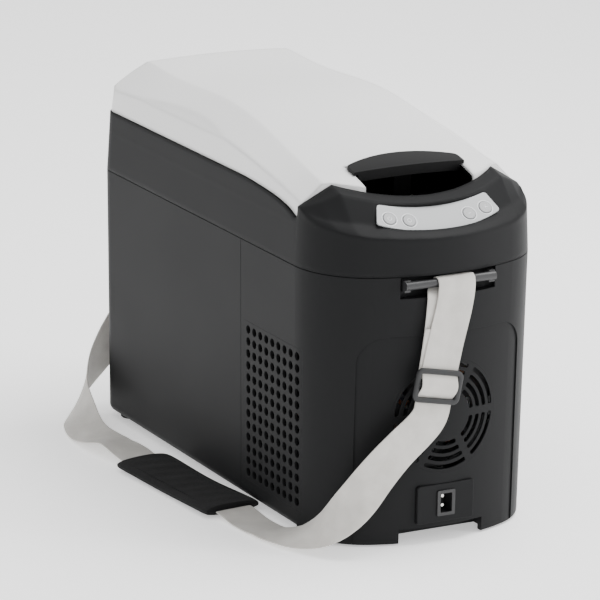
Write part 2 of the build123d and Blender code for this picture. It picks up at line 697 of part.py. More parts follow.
with BuildPart() as lid_liner:
    add(lid_form(LID_WALL + FIT))
    add(slab(REAR_X, SHELF_END_X + 4, LID_FILL_HALF_Y, LINER_PLATE_Z, LINER_PLATE_Z + LINER_PLATE_T), mode=Mode.INTERSECT)
    add(mouth(-5, LINER_PLATE_Z - 8, LINER_PLATE_Z))
    add(mouth(-8, LINER_PLATE_Z - 6, LINER_PLATE_Z + LINER_PLATE_T), mode=Mode.SUBTRACT)
    add(slab(PIVOT_X, PIVOT_X + 30, 13, 290, 310), mode=Mode.SUBTRACT)
finish(lid_liner, "lid_liner")

with BuildPart() as lid_gasket:
    add(mouth(6, FLANGE_TOP + LINER_T + FIT, LINER_PLATE_Z))
    add(mouth(1, FLANGE_TOP, LINER_PLATE_Z + 1), mode=Mode.SUBTRACT)
finish(lid_gasket, "lid_gasket")

with BuildPart() as lid_foam:
    add(lid_form(LID_WALL + FIT))
    add(slab(REAR_X, PIVOT_X - 20.2, LID_FILL_HALF_Y, LINER_PLATE_Z + LINER_PLATE_T, LID_HEIGHT), mode=Mode.INTERSECT)
finish(lid_foam, "lid_foam")

for side, name in ((-1, "left_hinge_pin"), (1, "right_hinge_pin")):
    with BuildPart() as hinge_pin:
        add(hinge_barrel(side * HINGE_Y, 34, HINGE_PIN_R))
    finish(hinge_pin, name)

# ---- latch: black pocket in the lid, lever handle, pin and strike ----
def handle_plan(z_low, z_high):
    """D-shaped plan of the handle: straight front, bowed rear."""
    with BuildPart(mode=Mode.PRIVATE) as body:
        with BuildSketch(Plane.XY.offset(z_low)) as plan:
            with BuildLine():
                ThreePointArc((HANDLE_SIDE_X, -HANDLE_HALF_Y), (HANDLE_REAR_X, 0), (HANDLE_SIDE_X, HANDLE_HALF_Y))
                Polyline(
                    (HANDLE_SIDE_X, HANDLE_HALF_Y),
                    (HANDLE_FRONT_X, HANDLE_HALF_Y),
                    (HANDLE_FRONT_X, -HANDLE_HALF_Y),
                    (HANDLE_SIDE_X, -HANDLE_HALF_Y),
                )
            make_face()
            fillet(plan.vertices().group_by(Axis.X)[0], 6)
        extrude(amount=z_high - z_low)
    return body.part


POCKET_FLOOR_Z = 308.0
POCKET_WALL = 2.0
LIP_HALF_Y = POCKET_HALF_Y - FIT - POCKET_WALL - 0.8
EAR_Y = 19.0
LUG_Y = 14.0
HOOK_X = PIVOT_X + 5.8

with BuildPart() as pocket_room:
    add(slab(POCKET_REAR_X + POCKET_WALL, NOSE_X, POCKET_HALF_Y - FIT - POCKET_WALL, POCKET_FLOOR_Z + 2, 380))
    add(slab(PIVOT_X - 3, NOSE_X, 22 - FIT, POCKET_FLOOR_Z + 2, 380))

with BuildPart() as latch_pocket:
    add(handle_opening(POCKET_FLOOR_Z, 380, -FIT))
    add(lid_form(LID_WALL), mode=Mode.INTERSECT)
    add(pocket_room.part, mode=Mode.SUBTRACT)
    for side in (-1, 1):
        with BuildSketch(Plane.XZ.offset(-side * EAR_Y - 1.5)):
            with BuildLine():
                Polyline(
                    (PIVOT_X - 2.6, POCKET_FLOOR_Z + 1),
                    (PIVOT_X - 2.6, PIVOT_Z),
                    (PIVOT_X + 2.6, PIVOT_Z),
                    (PIVOT_X + 8, POCKET_FLOOR_Z + 1),
                    close=True,
                )
            make_face()
            with Locations((PIVOT_X, PIVOT_Z)):
                Circle(2.6)
                Circle(PIVOT_R + 0.02, mode=Mode.SUBTRACT)
        extrude(amount=3)
    add(slab(HOOK_X - 3, HOOK_X + 17, 12, POCKET_FLOOR_Z - 1, POCKET_FLOOR_Z + 3), mode=Mode.SUBTRACT)
finish(latch_pocket, "latch_pocket")

with BuildPart() as handle_lip:
    add(lid_form(-0.6))
    add(lid_form(6), mode=Mode.SUBTRACT)
    add(slab(HANDLE_FRONT_X - 4, HANDLE_FRONT_X, LIP_HALF_Y, 300, 380), mode=Mode.INTERSECT)

with BuildPart() as latch_handle:
    add(lid_form(-HANDLE_PROUD))
    add(handle_plan(300, 390), mode=Mode.INTERSECT)
    add(lid_form(-0.6), mode=Mode.SUBTRACT)
    add(lid_form(-2.2) & slab(HANDLE_REAR_X - 2, PIVOT_X, HANDLE_HALF_Y, 300, 380), mode=Mode.SUBTRACT)
    add(handle_lip.part)
    for side in (-1, 1):
        with BuildSketch(Plane.XZ.offset(-side * LUG_Y - 2)):
            with BuildLine():
                Polyline(
                    (PIVOT_X, PIVOT_Z - 2.6),
                    (PIVOT_X, PIVOT_Z),
                    (PIVOT_X + 2, PIVOT_Z + 5.5),
                    (PIVOT_X + 12, PIVOT_Z + 3),
                    (PIVOT_X + 12, PIVOT_Z - 2.6),
                    close=True,
                )
            make_face()
            with Locations((PIVOT_X, PIVOT_Z)):
                Circle(2.6)
                Circle(PIVOT_R + 0.05, mode=Mode.SUBTRACT)
        extrude(amount=4)
    with BuildSketch(Plane.XZ.offset(-9)):
        with BuildLine():
            Polyline(
                (HOOK_X, 341),
                (HOOK_X, 306),
                (HOOK_X - 3, 304),
                (HOOK_X - 3, 300.5),
                (HOOK_X + 1, 299.6),
                (HOOK_X + 4, 303),
                (HOOK_X + 7, 339),
                close=True,
            )
        make_face()
    extrude(amount=18)
finish(latch_handle, "latch_handle")

with BuildPart() as latch_pin:
    with BuildSketch(Plane.XZ.offset(-EAR_Y - 1.5)):
        with Locations((PIVOT_X, PIVOT_Z)):
            Circle(PIVOT_R)
    extrude(amount=2 * EAR_Y + 3)
finish(latch_pin, "latch_pin")

with BuildPart() as latch_strike:
    with BuildSketch(Plane.XZ.offset(-11)):
        with BuildLine():
            Polyline(
                (HOOK_X - 9, FLANGE_TOP),
                (HOOK_X - 9, 302.4),
                (HOOK_X - 4.2, 302.4),
                (HOOK_X - 4.2, 300),
                (HOOK_X - 1, 300),
                (HOOK_X - 1, FLANGE_TOP),
                close=True,
            )
        make_face()
    extrude(amount=22)
finish(latch_strike, "latch_strike")


# ---- cooling unit in the compressor housing ----
COMPRESSOR_X, COMPRESSOR_Y = NOSE_X - 128.0, 18.0
COMPRESSOR_R = 50.0       # over the welded seam
CAN_R = 46.0
DOME_LOW_Z = 84.0         # above the mounting plate
DOME_TOP_Z = 112.0
DOME_R = (CAN_R**2 + (DOME_TOP_Z - DOME_LOW_Z) ** 2) / (2 * (DOME_TOP_Z - DOME_LOW_Z))
GROMMET_H = 10.0
DECK_Z = BASE_Z + WALL

with BuildPart() as compressor:
    with BuildSketch(Plane.XY.offset(DECK_Z + GROMMET_H)):
        with Locations((COMPRESSOR_X, COMPRESSOR_Y)):
            RectangleRounded(116, 96, 12)
    extrude(amount=2.5)
    with BuildSketch(Plane((COMPRESSOR_X, COMPRESSOR_Y, DECK_Z + GROMMET_H + 2.5), x_dir=(1, 0, 0), z_dir=(0, -1, 0))):
        with BuildLine():
            Polyline(
                (0, DOME_TOP_Z),
                (0, 0),
                (34, 0),
                (CAN_R, 12),
                (CAN_R, 44),
                (COMPRESSOR_R, 46),
                (COMPRESSOR_R, 54),
                (CAN_R, 56),
                (CAN_R, DOME_LOW_Z),
            )
            RadiusArc((CAN_R, DOME_LOW_Z), (0, DOME_TOP_Z), -DOME_R)
        make_face()
    revolve(axis=Axis((COMPRESSOR_X, COMPRESSOR_Y, 0), (0, 0, 1)))
finish(compressor, "compressor")

with BuildPart() as compressor_grommets:
    with BuildSketch(Plane.XY.offset(DECK_Z)):
        with Locations((COMPRESSOR_X, COMPRESSOR_Y)):
            with GridLocations(92, 72, 2, 2):
                Circle(9)
    extrude(amount=GROMMET_H)
    fillet(compressor_grommets.edges().group_by(Axis.Z)[-1], 2)
finish(compressor_grommets, "compressor_grommets")

CONTROLLER_X, CONTROLLER_Y = NOSE_X - 100.0, -78.0

with BuildPart() as compressor_controller:
    with BuildSketch(Plane.XY.offset(DECK_Z)):
        with Locations((CONTROLLER_X, CONTROLLER_Y)):
            RectangleRounded(66, 34, 3)
    extrude(amount=88)
    with BuildSketch(Plane.XY.offset(DECK_Z + 6)):
        with Locations((CONTROLLER_X, CONTROLLER_Y - 17)):
            with GridLocations(6.4, 0, 10, 1):
                Rectangle(2, 14)
    extrude(amount=76)
finish(compressor_controller, "compressor_controller")

# ---- condenser: fin stack with a serpentine tube ----
CONDENSER_X = NOSE_X - 57.0
CONDENSER_ROWS = 5
CONDENSER_PITCH = 22.0
TUBE_R = 4.0
FIN_HALF_Y = 51.0

with BuildPart() as condenser_fins:
    with BuildSketch(Plane.XZ):
        with Locations((CONDENSER_X, FAN_Z)):
            Rectangle(18, CONDENSER_PITCH * CONDENSER_ROWS)
    extrude(amount=0.8)
    condenser_fin = condenser_fins.part

with BuildPart() as condenser_fins:
    for k in range(17):
        add(condenser_fin.moved(Location((0, -FIN_HALF_Y + k * 2 * FIN_HALF_Y / 16, 0))))
finish(condenser_fins, "condenser_fins")

with BuildPart() as condenser_tube:
    half = FIN_HALF_Y + 5
    turn = CONDENSER_PITCH / 2
    low = FAN_Z - CONDENSER_PITCH * (CONDENSER_ROWS - 1) / 2
    with BuildLine() as serpentine:
        for k in range(CONDENSER_ROWS):
            z = low + k * CONDENSER_PITCH
            side = 1 if k % 2 == 0 else -1
            Line((CONDENSER_X, -side * half, z), (CONDENSER_X, side * half, z))
            if k < CONDENSER_ROWS - 1:
                ThreePointArc(
                    (CONDENSER_X, side * half, z),
                    (CONDENSER_X, side * (half + turn), z + turn),
                    (CONDENSER_X, side * half, z + CONDENSER_PITCH),
                )
    with BuildSketch(Plane((CONDENSER_X, -half, low), x_dir=(1, 0, 0), z_dir=(0, 1, 0))):
        Circle(TUBE_R)
    sweep(path=serpentine.wires()[0])
finish(condenser_tube, "condenser_tube")

DRIER_X = NOSE_X - 166.0

with BuildPart() as filter_drier:
    with BuildSketch(Plane((DRIER_X, -60, 0), x_dir=(1, 0, 0), z_dir=(0, -1, 0))):
        with BuildLine():
            Polyline((0, 20), (3, 20), (3, 28), (11, 36), (11, 84), (3, 92), (3, 100), (0, 100), close=True)
        make_face()
    revolve(axis=Axis((DRIER_X, -60, 0), (0, 0, 1)))
finish(filter_drier, "filter_drier")

# ---- axial fan ----
def blade_plane(angle, radius, pitch):
    """Plane across a blade at a radius, turned by its pitch."""
    outward = (0, sin(angle), cos(angle))
    along = (cos(pitch), sin(pitch) * cos(angle), -sin(pitch) * sin(angle))
    return Plane((FAN_X + 1, radius * outward[1], FAN_Z + radius * outward[2]), x_dir=along, z_dir=outward)


with BuildPart() as fan_rotor:
    with BuildSketch(Plane.YZ.offset(FAN_X - FAN_HALF + 5)):
        with Locations((0, FAN_Z)):
            Circle(FAN_HUB_R)
    extrude(amount=2 * FAN_HALF - 6)
    fillet(fan_rotor.edges().group_by(Axis.X)[-1], 2)
    with BuildSketch(Plane.YZ.offset(FAN_X - FAN_HALF + 5)):
        with Locations((0, FAN_Z)):
            Circle(FAN_HUB_R - 2)
    extrude(amount=2 * FAN_HALF - 9, mode=Mode.SUBTRACT)
    with BuildSketch(Plane.YZ.offset(FAN_X - FAN_HALF + 4)):
        with Locations((0, FAN_Z)):
            Circle(1.5)
    extrude(amount=2 * FAN_HALF - 6)
    for k in range(BLADES):
        turn = 2 * pi * k / BLADES
        with BuildSketch(blade_plane(turn, FAN_HUB_R - 1, radians(42))):
            Rectangle(19, 1.8)
        with BuildSketch(blade_plane(turn + 0.16, (FAN_HUB_R + FAN_BORE_R) / 2, radians(50))):
            Rectangle(23, 1.5)
        with BuildSketch(blade_plane(turn + 0.34, FAN_BORE_R - 1.5, radians(58))):
            Rectangle(27, 1.2)
        loft()
finish(fan_rotor, "fan_rotor")

with BuildPart() as fan_frame:
    with BuildSketch(Plane.YZ.offset(FAN_X - FAN_HALF)):
        with Locations((0, FAN_Z)):
            RectangleRounded(FAN_FRAME, FAN_FRAME, 6)
            Circle(FAN_BORE_R, mode=Mode.SUBTRACT)
            with GridLocations(FAN_FRAME - 11, FAN_FRAME - 11, 2, 2):
                Circle(2.2, mode=Mode.SUBTRACT)
    extrude(amount=2 * FAN_HALF)
    with BuildSketch(Plane.YZ.offset(FAN_X - FAN_HALF)):
        with Locations((0, FAN_Z)):
            Circle(FAN_HUB_R)
            for k in range(4):
                with Locations(Rotation(0, 0, 90 * k + 45)):
                    with Locations(((FAN_BORE_R + FAN_HUB_R) / 2, 0)):
                        Rectangle(FAN_BORE_R - FAN_HUB_R + 4, 4)
    extrude(amount=3)
    with BuildSketch(Plane.YZ.offset(FAN_X - FAN_HALF + 3)):
        with Locations((0, FAN_Z)):
            Circle(FAN_HUB_R - 4)
    extrude(amount=12)
    with BuildSketch(Plane.YZ.offset(FAN_X - FAN_HALF)):
        with Locations((0, FAN_Z)):
            Circle(1.55)
    extrude(amount=20, mode=Mode.SUBTRACT)
finish(fan_frame, "fan_frame")

# ---- supply inlet: panel, socket and pins ----
INLET_FRONT_X = wall_x(0, wall_inset(INLET_Z)) + 0.3
INLET_BACK_X = INLET_FRONT_X - 6.0
SOCKET_W, SOCKET_H = 18.6, 24.4

with BuildPart() as inlet_panel:
    with BuildSketch(Plane.YZ.offset(INLET_BACK_X)):
        with Locations((INLET_Y, INLET_Z)):
            RectangleRounded(INLET_W - 0.4, INLET_H - 0.4, 2.8)
            Rectangle(SOCKET_W - 3, SOCKET_H - 3, mode=Mode.SUBTRACT)
    extrude(amount=INLET_FRONT_X - INLET_BACK_X)
    fillet(inlet_panel.faces().sort_by(Axis.X)[-1].outer_wire().edges(), 0.8)
finish(inlet_panel, "inlet_panel")

with BuildPart() as inlet_socket:
    with BuildSketch(Plane.YZ.offset(INLET_FRONT_X)):
        with Locations((INLET_Y, INLET_Z)):
            RectangleRounded(SOCKET_W, SOCKET_H, 1.5)
    extrude(amount=1.4)
    with BuildSketch(Plane.YZ.offset(INLET_BACK_X - 10)):
        with Locations((INLET_Y, INLET_Z)):
            Rectangle(SOCKET_W - 3.4, SOCKET_H - 3.4)
    extrude(amount=INLET_FRONT_X - INLET_BACK_X + 10)
    with BuildSketch(Plane.YZ.offset(INLET_BACK_X - 8)):
        with Locations((INLET_Y, INLET_Z)):
            RectangleRounded(SOCKET_W - 6.6, SOCKET_H - 6.0, 1)
    extrude(amount=INLET_FRONT_X - INLET_BACK_X + 10, mode=Mode.SUBTRACT)
finish(inlet_socket, "inlet_socket")

with BuildPart() as inlet_pins:
    with BuildSketch(Plane.YZ.offset(INLET_BACK_X - 8)):
        with Locations((INLET_Y, INLET_Z)):
            with GridLocations(0, 9, 1, 2):
                Circle(1.5)
    extrude(amount=8)
finish(inlet_pins, "inlet_pins")

# ---- fascia, circuit board and the four keys ----
with BuildPart() as display_fascia:
    extrude(fascia_face(-FASCIA_T, 0), amount=FASCIA_T)
    with BuildSketch(FASCIA.offset(-FASCIA_T)):
        with Locations(*[(y, v) for _, y, v in BUTTONS]):
            Circle(BUTTON_R + 0.35)
    extrude(amount=2 * FASCIA_T, mode=Mode.SUBTRACT)
finish(display_fascia, "display_fascia")

for name, y, v in BUTTONS:
    with BuildPart() as button:
        with BuildSketch(FASCIA.offset(-FASCIA_T - 0.2)):
            with Locations((y, v)):
                Circle(BUTTON_R)
        extrude(amount=FASCIA_T + 1.0)
        fillet(button.faces().sort_by(Axis.Z)[-1].edges(), 0.5)
        with BuildSketch(FASCIA.offset(-FASCIA_T - 1.4)):
            with Locations((y, v)):
                Circle(BUTTON_R + 1)
        extrude(amount=1.2)
    finish(button, f"{name}_button")

with BuildPart() as display_board:
    extrude(fascia_face(-FASCIA_T - 4.6, -5), amount=1.6)
    with BuildSketch(FASCIA.offset(-FASCIA_T - 3.0)):
        with Locations(*[(y, v) for _, y, v in BUTTONS]):
            Rectangle(5, 5)
    extrude(amount=0.7)
finish(display_board, "display_board")

# ---- strap bars: rod between two lugs in the pocket at each end ----
for end, name in ((1, "front_strap_bar"), (-1, "rear_strap_bar")):
    bar_x = end * (LENGTH / 2 - BAR_SET)
    back_x = end * (LENGTH / 2 - POCKET_DEPTH)
    with BuildPart() as strap_bar:
        with BuildSketch(Plane.XZ.offset(-BAR_HALF_Y)):
            with Locations((bar_x, BAR_Z)):
                Circle(BAR_R)
        extrude(amount=2 * BAR_HALF_Y)
        for side in (-1, 1):
            add(
                slab(min(back_x, bar_x), max(back_x, bar_x), 3, BAR_Z - 6, BAR_Z + 5).moved(
                    Location((0, side * (BAR_HALF_Y - 3), 0))
                )
            )
    finish(strap_bar, name)

# ---- carrying strap ----
BAR_LEAN_Y = 4.0          # where the loops sit along the bars


def ribbon(stations, width=WEB_W, thickness=WEB_T):
    """Flat webbing through (centre, across) stations, each section square to the run."""
    faces = []
    centres = [Vector(*centre) for centre, _ in stations]
    for k, (_, across) in enumerate(stations):
        run = (centres[min(k + 1, len(centres) - 1)] - centres[max(k - 1, 0)]).normalized()
        across = Vector(*across)
        across = (across - run * across.dot(run)).normalized()
        with BuildSketch(Plane(centres[k], x_dir=across, z_dir=run), mode=Mode.PRIVATE) as section:
            Rectangle(width, thickness)
        faces.append(section.sketch)
    with BuildPart(mode=Mode.PRIVATE) as body:
        loft(faces, ruled=True)
    return body.part


def wrap(bar_x, end, radius, start, stop, count):
    """Stations round a strap bar from one angle to another, seen from +Y, along the end's side."""
    stations = []
    for k in range(count + 1):
        angle = radians(start + (stop - start) * k / count)
        stations.append(((bar_x + end * radius * cos(angle), BAR_LEAN_Y, BAR_Z + radius * sin(angle)), (0, 1, 0)))
    return stations


WRAP_R = BAR_R + 0.5 + WEB_T / 2
FRONT_BAR_X = LENGTH / 2 - BAR_SET

with BuildPart() as strap_front_loop:
    add(
        ribbon(
            [((256.6, -12.6, 174.0), (0, 0.98, -0.2)), ((254.6, -4, 215), (0, 1, -0.1))]
            + [((253.6, 0.5, 236.0), (0, 1, 0))]
            + wrap(FRONT_BAR_X, 1, WRAP_R, 0, 180, 8)
            + [((243.6, 3, 243.2), (0, 1, 0)), ((248.6, 2.2, 240.6), (0, 1, 0)), ((251.9, 0.8, 236.8), (0, 1, 0))]
            + [((252.1, -1.5, 226), (0, 1, 0)), ((252.4, -6, 205), (0, 1, -0.1)), ((254.2, -12.6, 174.0), (0, 0.98, -0.2))]
        )
    )
finish(strap_front_loop, "strap_front_loop")

SLIDER = Plane((257.5, -17.2, 155.0), x_dir=(0, 0.98, -0.2), z_dir=(1, 0, 0.02))

with BuildPart() as strap_slider:
    with BuildSketch(SLIDER):
        RectangleRounded(WEB_W + 12, 32, 3)
        with GridLocations(0, 13.5, 1, 2):
            RectangleRounded(WEB_W + 2, 8.5, 1.5, mode=Mode.SUBTRACT)
    extrude(amount=3.2, both=False)
    chamfer(strap_slider.faces().sort_by(Axis.X)[-1].outer_wire().edges(), 0.8)
finish(strap_slider, "strap_slider")

with BuildPart() as strap_webbing:
    add(
        ribbon(
            [
                ((258.9, -21.1, 136.2), (0, 0.98, -0.2)),
                ((258.9, -24.6, 127.0), (0, 0.95, -0.3)),
                ((258.9, -35.0, 117.0), (0, 0.78, -0.62)),
                ((258.5, -56.0, 100.0), (0.05, 0.7, -0.71)),
                ((256.5, -78.0, 78.0), (0.2, 0.55, -0.81)),
                ((251.0, -98.0, 50.0), (0.42, 0.25, -0.87)),
                ((236.0, -113.0, 28.0), (0.5, -0.25, -0.83)),
                ((213.0, -124.0, 15.5), (0.3, -0.75, -0.6)),
                ((188.0, -131.0, 7.5), (0.1, -0.97, -0.25)),
                ((160.0, -136.0, 2.2), (0, -1, 0)),
                ((130.0, -139.0, 1.6), (0, -1, 0)),
                ((108.0, -140.5, 5.0), (0, -1, 0)),
                ((99.5, -140.9, 6.0), (0, -1, 0)),
            ]
        )
    )
finish(strap_webbing, "strap_webbing")

PAD_FRONT = (96.5, -141.0)
PAD_REAR = (-72.0, -155.0)
PAD_W = 58.0
PAD_T = 10.0

with BuildPart() as shoulder_pad:
    pad_run = Vector(PAD_REAR[0] - PAD_FRONT[0], PAD_REAR[1] - PAD_FRONT[1], 0)
    with BuildSketch(Plane(((PAD_FRONT[0] + PAD_REAR[0]) / 2, (PAD_FRONT[1] + PAD_REAR[1]) / 2, 1), x_dir=pad_run)):
        RectangleRounded(pad_run.length, PAD_W, 10)
    extrude(amount=PAD_T)
    fillet(shoulder_pad.edges().group_by(Axis.Z)[-1] + shoulder_pad.edges().group_by(Axis.Z)[0], 3)
finish(shoulder_pad, "shoulder_pad")

REAR_BAR_X = -FRONT_BAR_X

with BuildPart() as strap_rear_run:
    add(
        ribbon(
            [
                ((-72.6, -155.0, 6.2), (0, -1, 0)),
                ((-92.0, -157.0, 9.0), (0, -1, 0)),
                ((-118.0, -161.0, 13.0), (0.1, -0.97, 0.1)),
                ((-145.0, -165.0, 9.0), (0.2, -0.97, -0.1)),
                ((-175.0, -166.0, 7.0), (0.1, -0.95, -0.3)),
                ((-208.0, -159.0, 12.0), (-0.2, -0.8, -0.5)),
                ((-240.0, -144.0, 21.0), (-0.35, -0.3, -0.9)),
                ((-262.0, -122.0, 38.0), (-0.3, 0.1, -0.93)),
                ((-271.0, -92.0, 72.0), (-0.1, 0.6, -0.75)),
                ((-270.0, -62.0, 115.0), (0, 0.8, -0.6)),
                ((-264.0, -33.0, 165.0), (0, 0.9, -0.42)),
                ((-258.0, -11.0, 212.0), (0, 0.97, -0.2)),
                ((-254.2, -2.0, 236.0), (0, 1, 0)),
            ]
            + wrap(REAR_BAR_X, -1, WRAP_R, 0, 180, 8)
            + [((-243.6, 3, 243.2), (0, 1, 0)), ((-248.6, 2.2, 240.6), (0, 1, 0)), ((-251.9, 0.8, 236.8), (0, 1, 0))]
            + [((-252.0, -1.5, 226), (0, 1, 0)), ((-252.0, -7, 200), (0, 1, -0.1))]
        )
    )
finish(strap_rear_run, "strap_rear_run")
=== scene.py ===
import math

import bmesh
import bpy
import numpy as np
from mathutils import Matrix, Vector


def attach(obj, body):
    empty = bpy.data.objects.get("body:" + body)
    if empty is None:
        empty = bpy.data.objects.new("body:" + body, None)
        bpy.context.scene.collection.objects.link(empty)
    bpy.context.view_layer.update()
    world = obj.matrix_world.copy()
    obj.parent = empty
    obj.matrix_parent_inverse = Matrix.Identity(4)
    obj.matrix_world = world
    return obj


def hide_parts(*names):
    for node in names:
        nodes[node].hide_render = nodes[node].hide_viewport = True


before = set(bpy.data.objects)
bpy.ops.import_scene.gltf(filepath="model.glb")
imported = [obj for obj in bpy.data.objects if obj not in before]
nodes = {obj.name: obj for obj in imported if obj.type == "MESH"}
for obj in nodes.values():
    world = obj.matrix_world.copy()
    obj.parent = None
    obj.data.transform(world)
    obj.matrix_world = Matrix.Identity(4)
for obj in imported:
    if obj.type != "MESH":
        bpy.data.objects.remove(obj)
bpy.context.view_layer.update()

scene = bpy.context.scene

# ---- Camera: a long lens from the front left, a little above the lid, with the whole cooler and its
# strap in view.
VIEW_YAW = math.radians(28.21)
VIEW_PITCH = math.radians(15.82)
VIEW_ROLL = math.radians(0.85)
VIEW_DISTANCE = 3.871
VIEW_SHIFT = (0.01674, 0.16158)
VIEW_LENS = 238.02

azimuth = math.pi / 2 - VIEW_YAW
away = Vector(
    (
        math.sin(azimuth) * math.cos(VIEW_PITCH),
        -math.cos(azimuth) * math.cos(VIEW_PITCH),
        math.sin(VIEW_PITCH),
    )
)
level = Vector((math.cos(azimuth), math.sin(azimuth), 0))
upright = away.cross(level)
sight_right = math.cos(VIEW_ROLL) * level + math.sin(VIEW_ROLL) * upright
sight_up = math.cos(VIEW_ROLL) * upright - math.sin(VIEW_ROLL) * level
lens = bpy.data.cameras.new("view_camera")
lens.sensor_width = 36
lens.lens = VIEW_LENS
lens.clip_end = 30
camera = bpy.data.objects.new("view_camera", lens)
scene.collection.objects.link(camera)
camera.matrix_world = Matrix.Translation(
    VIEW_DISTANCE * away - VIEW_SHIFT[0] * sight_right + VIEW_SHIFT[1] * sight_up
) @ Matrix((sight_right, sight_up, away)).transposed().to_4x4()
scene.camera = camera

# ---- Shoulder strap: one length of 38 mm grey polyester webbing, 1.6 mm thick, woven with a fine
# twill.  It comes round the front bar, goes through the slider, lies on the floor along the left side,
# runs through the shoulder pad and climbs round the rear bar.
WEB_WIDTH = 0.038
WEB_THICK = 0.0016
RIB_PITCH = 0.0017
PICK_PITCH = 0.0011
SELVEDGE_AT = 0.0172


def route_line(points, name):
    """Smooth centreline: an order-3 NURBS with the route's points as its control points."""
    curve = bpy.data.curves.new(name, "CURVE")
    curve.dimensions = "3D"
    curve.resolution_u = 16
    spline = curve.splines.new("NURBS")
    spline.points.add(len(points) - 1)
    spline.points.foreach_set("co", np.c_[points, np.ones(len(points))].ravel())
    spline.order_u = 3
    spline.use_endpoint_u = True
    holder = bpy.data.objects.new(name, curve)
    read = bpy.data.meshes.new_from_object(holder)
    line = np.empty(3 * len(read.vertices))
    read.vertices.foreach_get("co", line)
    bpy.data.objects.remove(holder)
    bpy.data.curves.remove(curve)
    bpy.data.meshes.remove(read)
    return line.reshape(-1, 3)


def lengths_along(line):
    """Distance from the start to each point, summed along the line."""
    return np.r_[0, np.cumsum(np.linalg.norm(np.diff(line, axis=0), axis=1))]


def even_points(line, step):
    """The same line with points an even step apart, each coordinate interpolated by length."""
    far = lengths_along(line)
    at = np.linspace(0, far[-1], max(3, int(far[-1] / step)))
    return np.stack([np.interp(at, far, line[:, k]) for k in range(3)], axis=1)


def unit(vectors):
    """Each row divided by its own length."""
    return vectors / np.linalg.norm(vectors, axis=-1, keepdims=True)


def grid_mesh(name, grid, around, ends=True, uv=None):
    """Mesh of a grid of points, rows by columns.  Neighbouring points make quads; the columns close
    into a ring when around is true, and then each end row closes with a fan onto its middle."""
    rows, cols = grid.shape[:2]
    index = np.arange(rows * cols).reshape(rows, cols)
    right = np.roll(index, -1, axis=1) if around else index[:, 1:]
    left = index if around else index[:, :-1]
    quads = np.stack([left[:-1], right[:-1], right[1:], left[1:]], axis=-1).reshape(-1, 4)
    points = grid.reshape(-1, 3)
    faces = quads.tolist()
    if around and ends:
        points = np.vstack([points, grid[0].mean(0), grid[-1].mean(0)])
        ring = np.arange(cols)
        faces += np.stack([np.roll(ring, -1), ring, np.full(cols, rows * cols)], axis=1).tolist()
        last = index[-1]
        faces += np.stack([last, np.roll(last, -1), np.full(cols, rows * cols + 1)], axis=1).tolist()
    mesh = bpy.data.meshes.new(name)
    mesh.from_pydata(points.tolist(), [], faces)
    if uv is not None:
        flat = np.vstack([uv.reshape(-1, 2), uv[0].mean(0), uv[-1].mean(0)])
        layer = mesh.uv_layers.new(name="weave")
        corner = np.empty(len(mesh.loops), dtype=np.int32)
        mesh.loops.foreach_get("vertex_index", corner)
        layer.data.foreach_set("uv", flat[corner].ravel())
    mesh.shade_smooth()
    return mesh


def new_piece(name, mesh, material, body):
    """A finished piece at the origin that rides on a body and takes a slot's finish."""
    piece = bpy.data.objects.new(name, mesh)
    scene.collection.objects.link(piece)
    mesh.materials.append(material)
    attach(piece, body)
    return piece


def webbing_grid(line, across, width, thick, square):
    """Flat band along a line: at each point an ellipse-like section, width along the across direction
    and thickness square to it, with round edges.  A square band has its width turned square to the
    run; the other keeps it as given, so that it can slide sideways round a bar."""
    run = unit(np.gradient(line, axis=0))
    if square:
        across = unit(across - run * np.sum(across * run, axis=1, keepdims=True))
    facing = unit(np.cross(run, across))
    turn = np.linspace(0, 2 * np.pi, 36, endpoint=False)
    side = np.sign(np.cos(turn)) * np.abs(np.cos(turn)) ** 0.55
    skin = np.sign(np.sin(turn)) * np.abs(np.sin(turn)) ** 0.22
    lift = thick / 2 * skin
    grid = line[:, None] + across[:, None] * (width / 2 * side)[:, None] + facing[:, None] * lift[:, None]
    far = lengths_along(line)
    uv = np.stack(np.broadcast_arrays((width / 2 * side)[None], far[:, None]), axis=-1)
    return grid, uv


def webbing_piece(name, stations, step, square=True):
    """A run of webbing through stations of (point, across), both in millimetres or plain numbers."""
    points = np.array([s[0] for s in stations]) / 1000
    sides = np.array([s[1] for s in stations], dtype=float)
    line = even_points(route_line(points, name + "_route"), step)
    knots, far = lengths_along(points), lengths_along(line)
    share = far / far[-1] * knots[-1]
    across = unit(np.stack([np.interp(share, knots, sides[:, k]) for k in range(3)], axis=1))
    grid, uv = webbing_grid(line, across, WEB_WIDTH, WEB_THICK, square)
    return new_piece(name, grid_mesh(name, grid, True, True, uv), webbing_weave, "cabinet"), line


def plain_material(name, colour, roughness, metallic=0.0):
    """Principled surface with its constants on its own sockets; returns the material, nodes and shader."""
    material = bpy.data.materials.new(name)
    material.use_nodes = True
    tree = material.node_tree
    shader = tree.nodes["Principled BSDF"]
    shader.inputs["Base Color"].default_value = (*colour, 1)
    shader.inputs["Roughness"].default_value = roughness
    shader.inputs["Metallic"].default_value = metallic
    return material, tree, shader


def math_node(tree, operation, first, second=None):
    """Math node on two sockets or numbers; returns its output."""
    node = tree.nodes.new("ShaderNodeMath")
    node.operation = operation
    for k, value in enumerate((first, second)):
        if value is None:
            continue
        if isinstance(value, (int, float)):
            node.inputs[k].default_value = value
        else:
            tree.links.new(value, node.inputs[k])
    return node.outputs[0]


def object_noise(tree, scale, detail=2.0):
    """Noise over the object's own coordinates; returns its factor output."""
    place = tree.nodes.new("ShaderNodeTexCoord")
    noise = tree.nodes.new("ShaderNodeTexNoise")
    noise.inputs["Scale"].default_value = scale
    noise.inputs["Detail"].default_value = detail
    tree.links.new(place.outputs["Object"], noise.inputs["Vector"])
    return noise.outputs["Fac"]


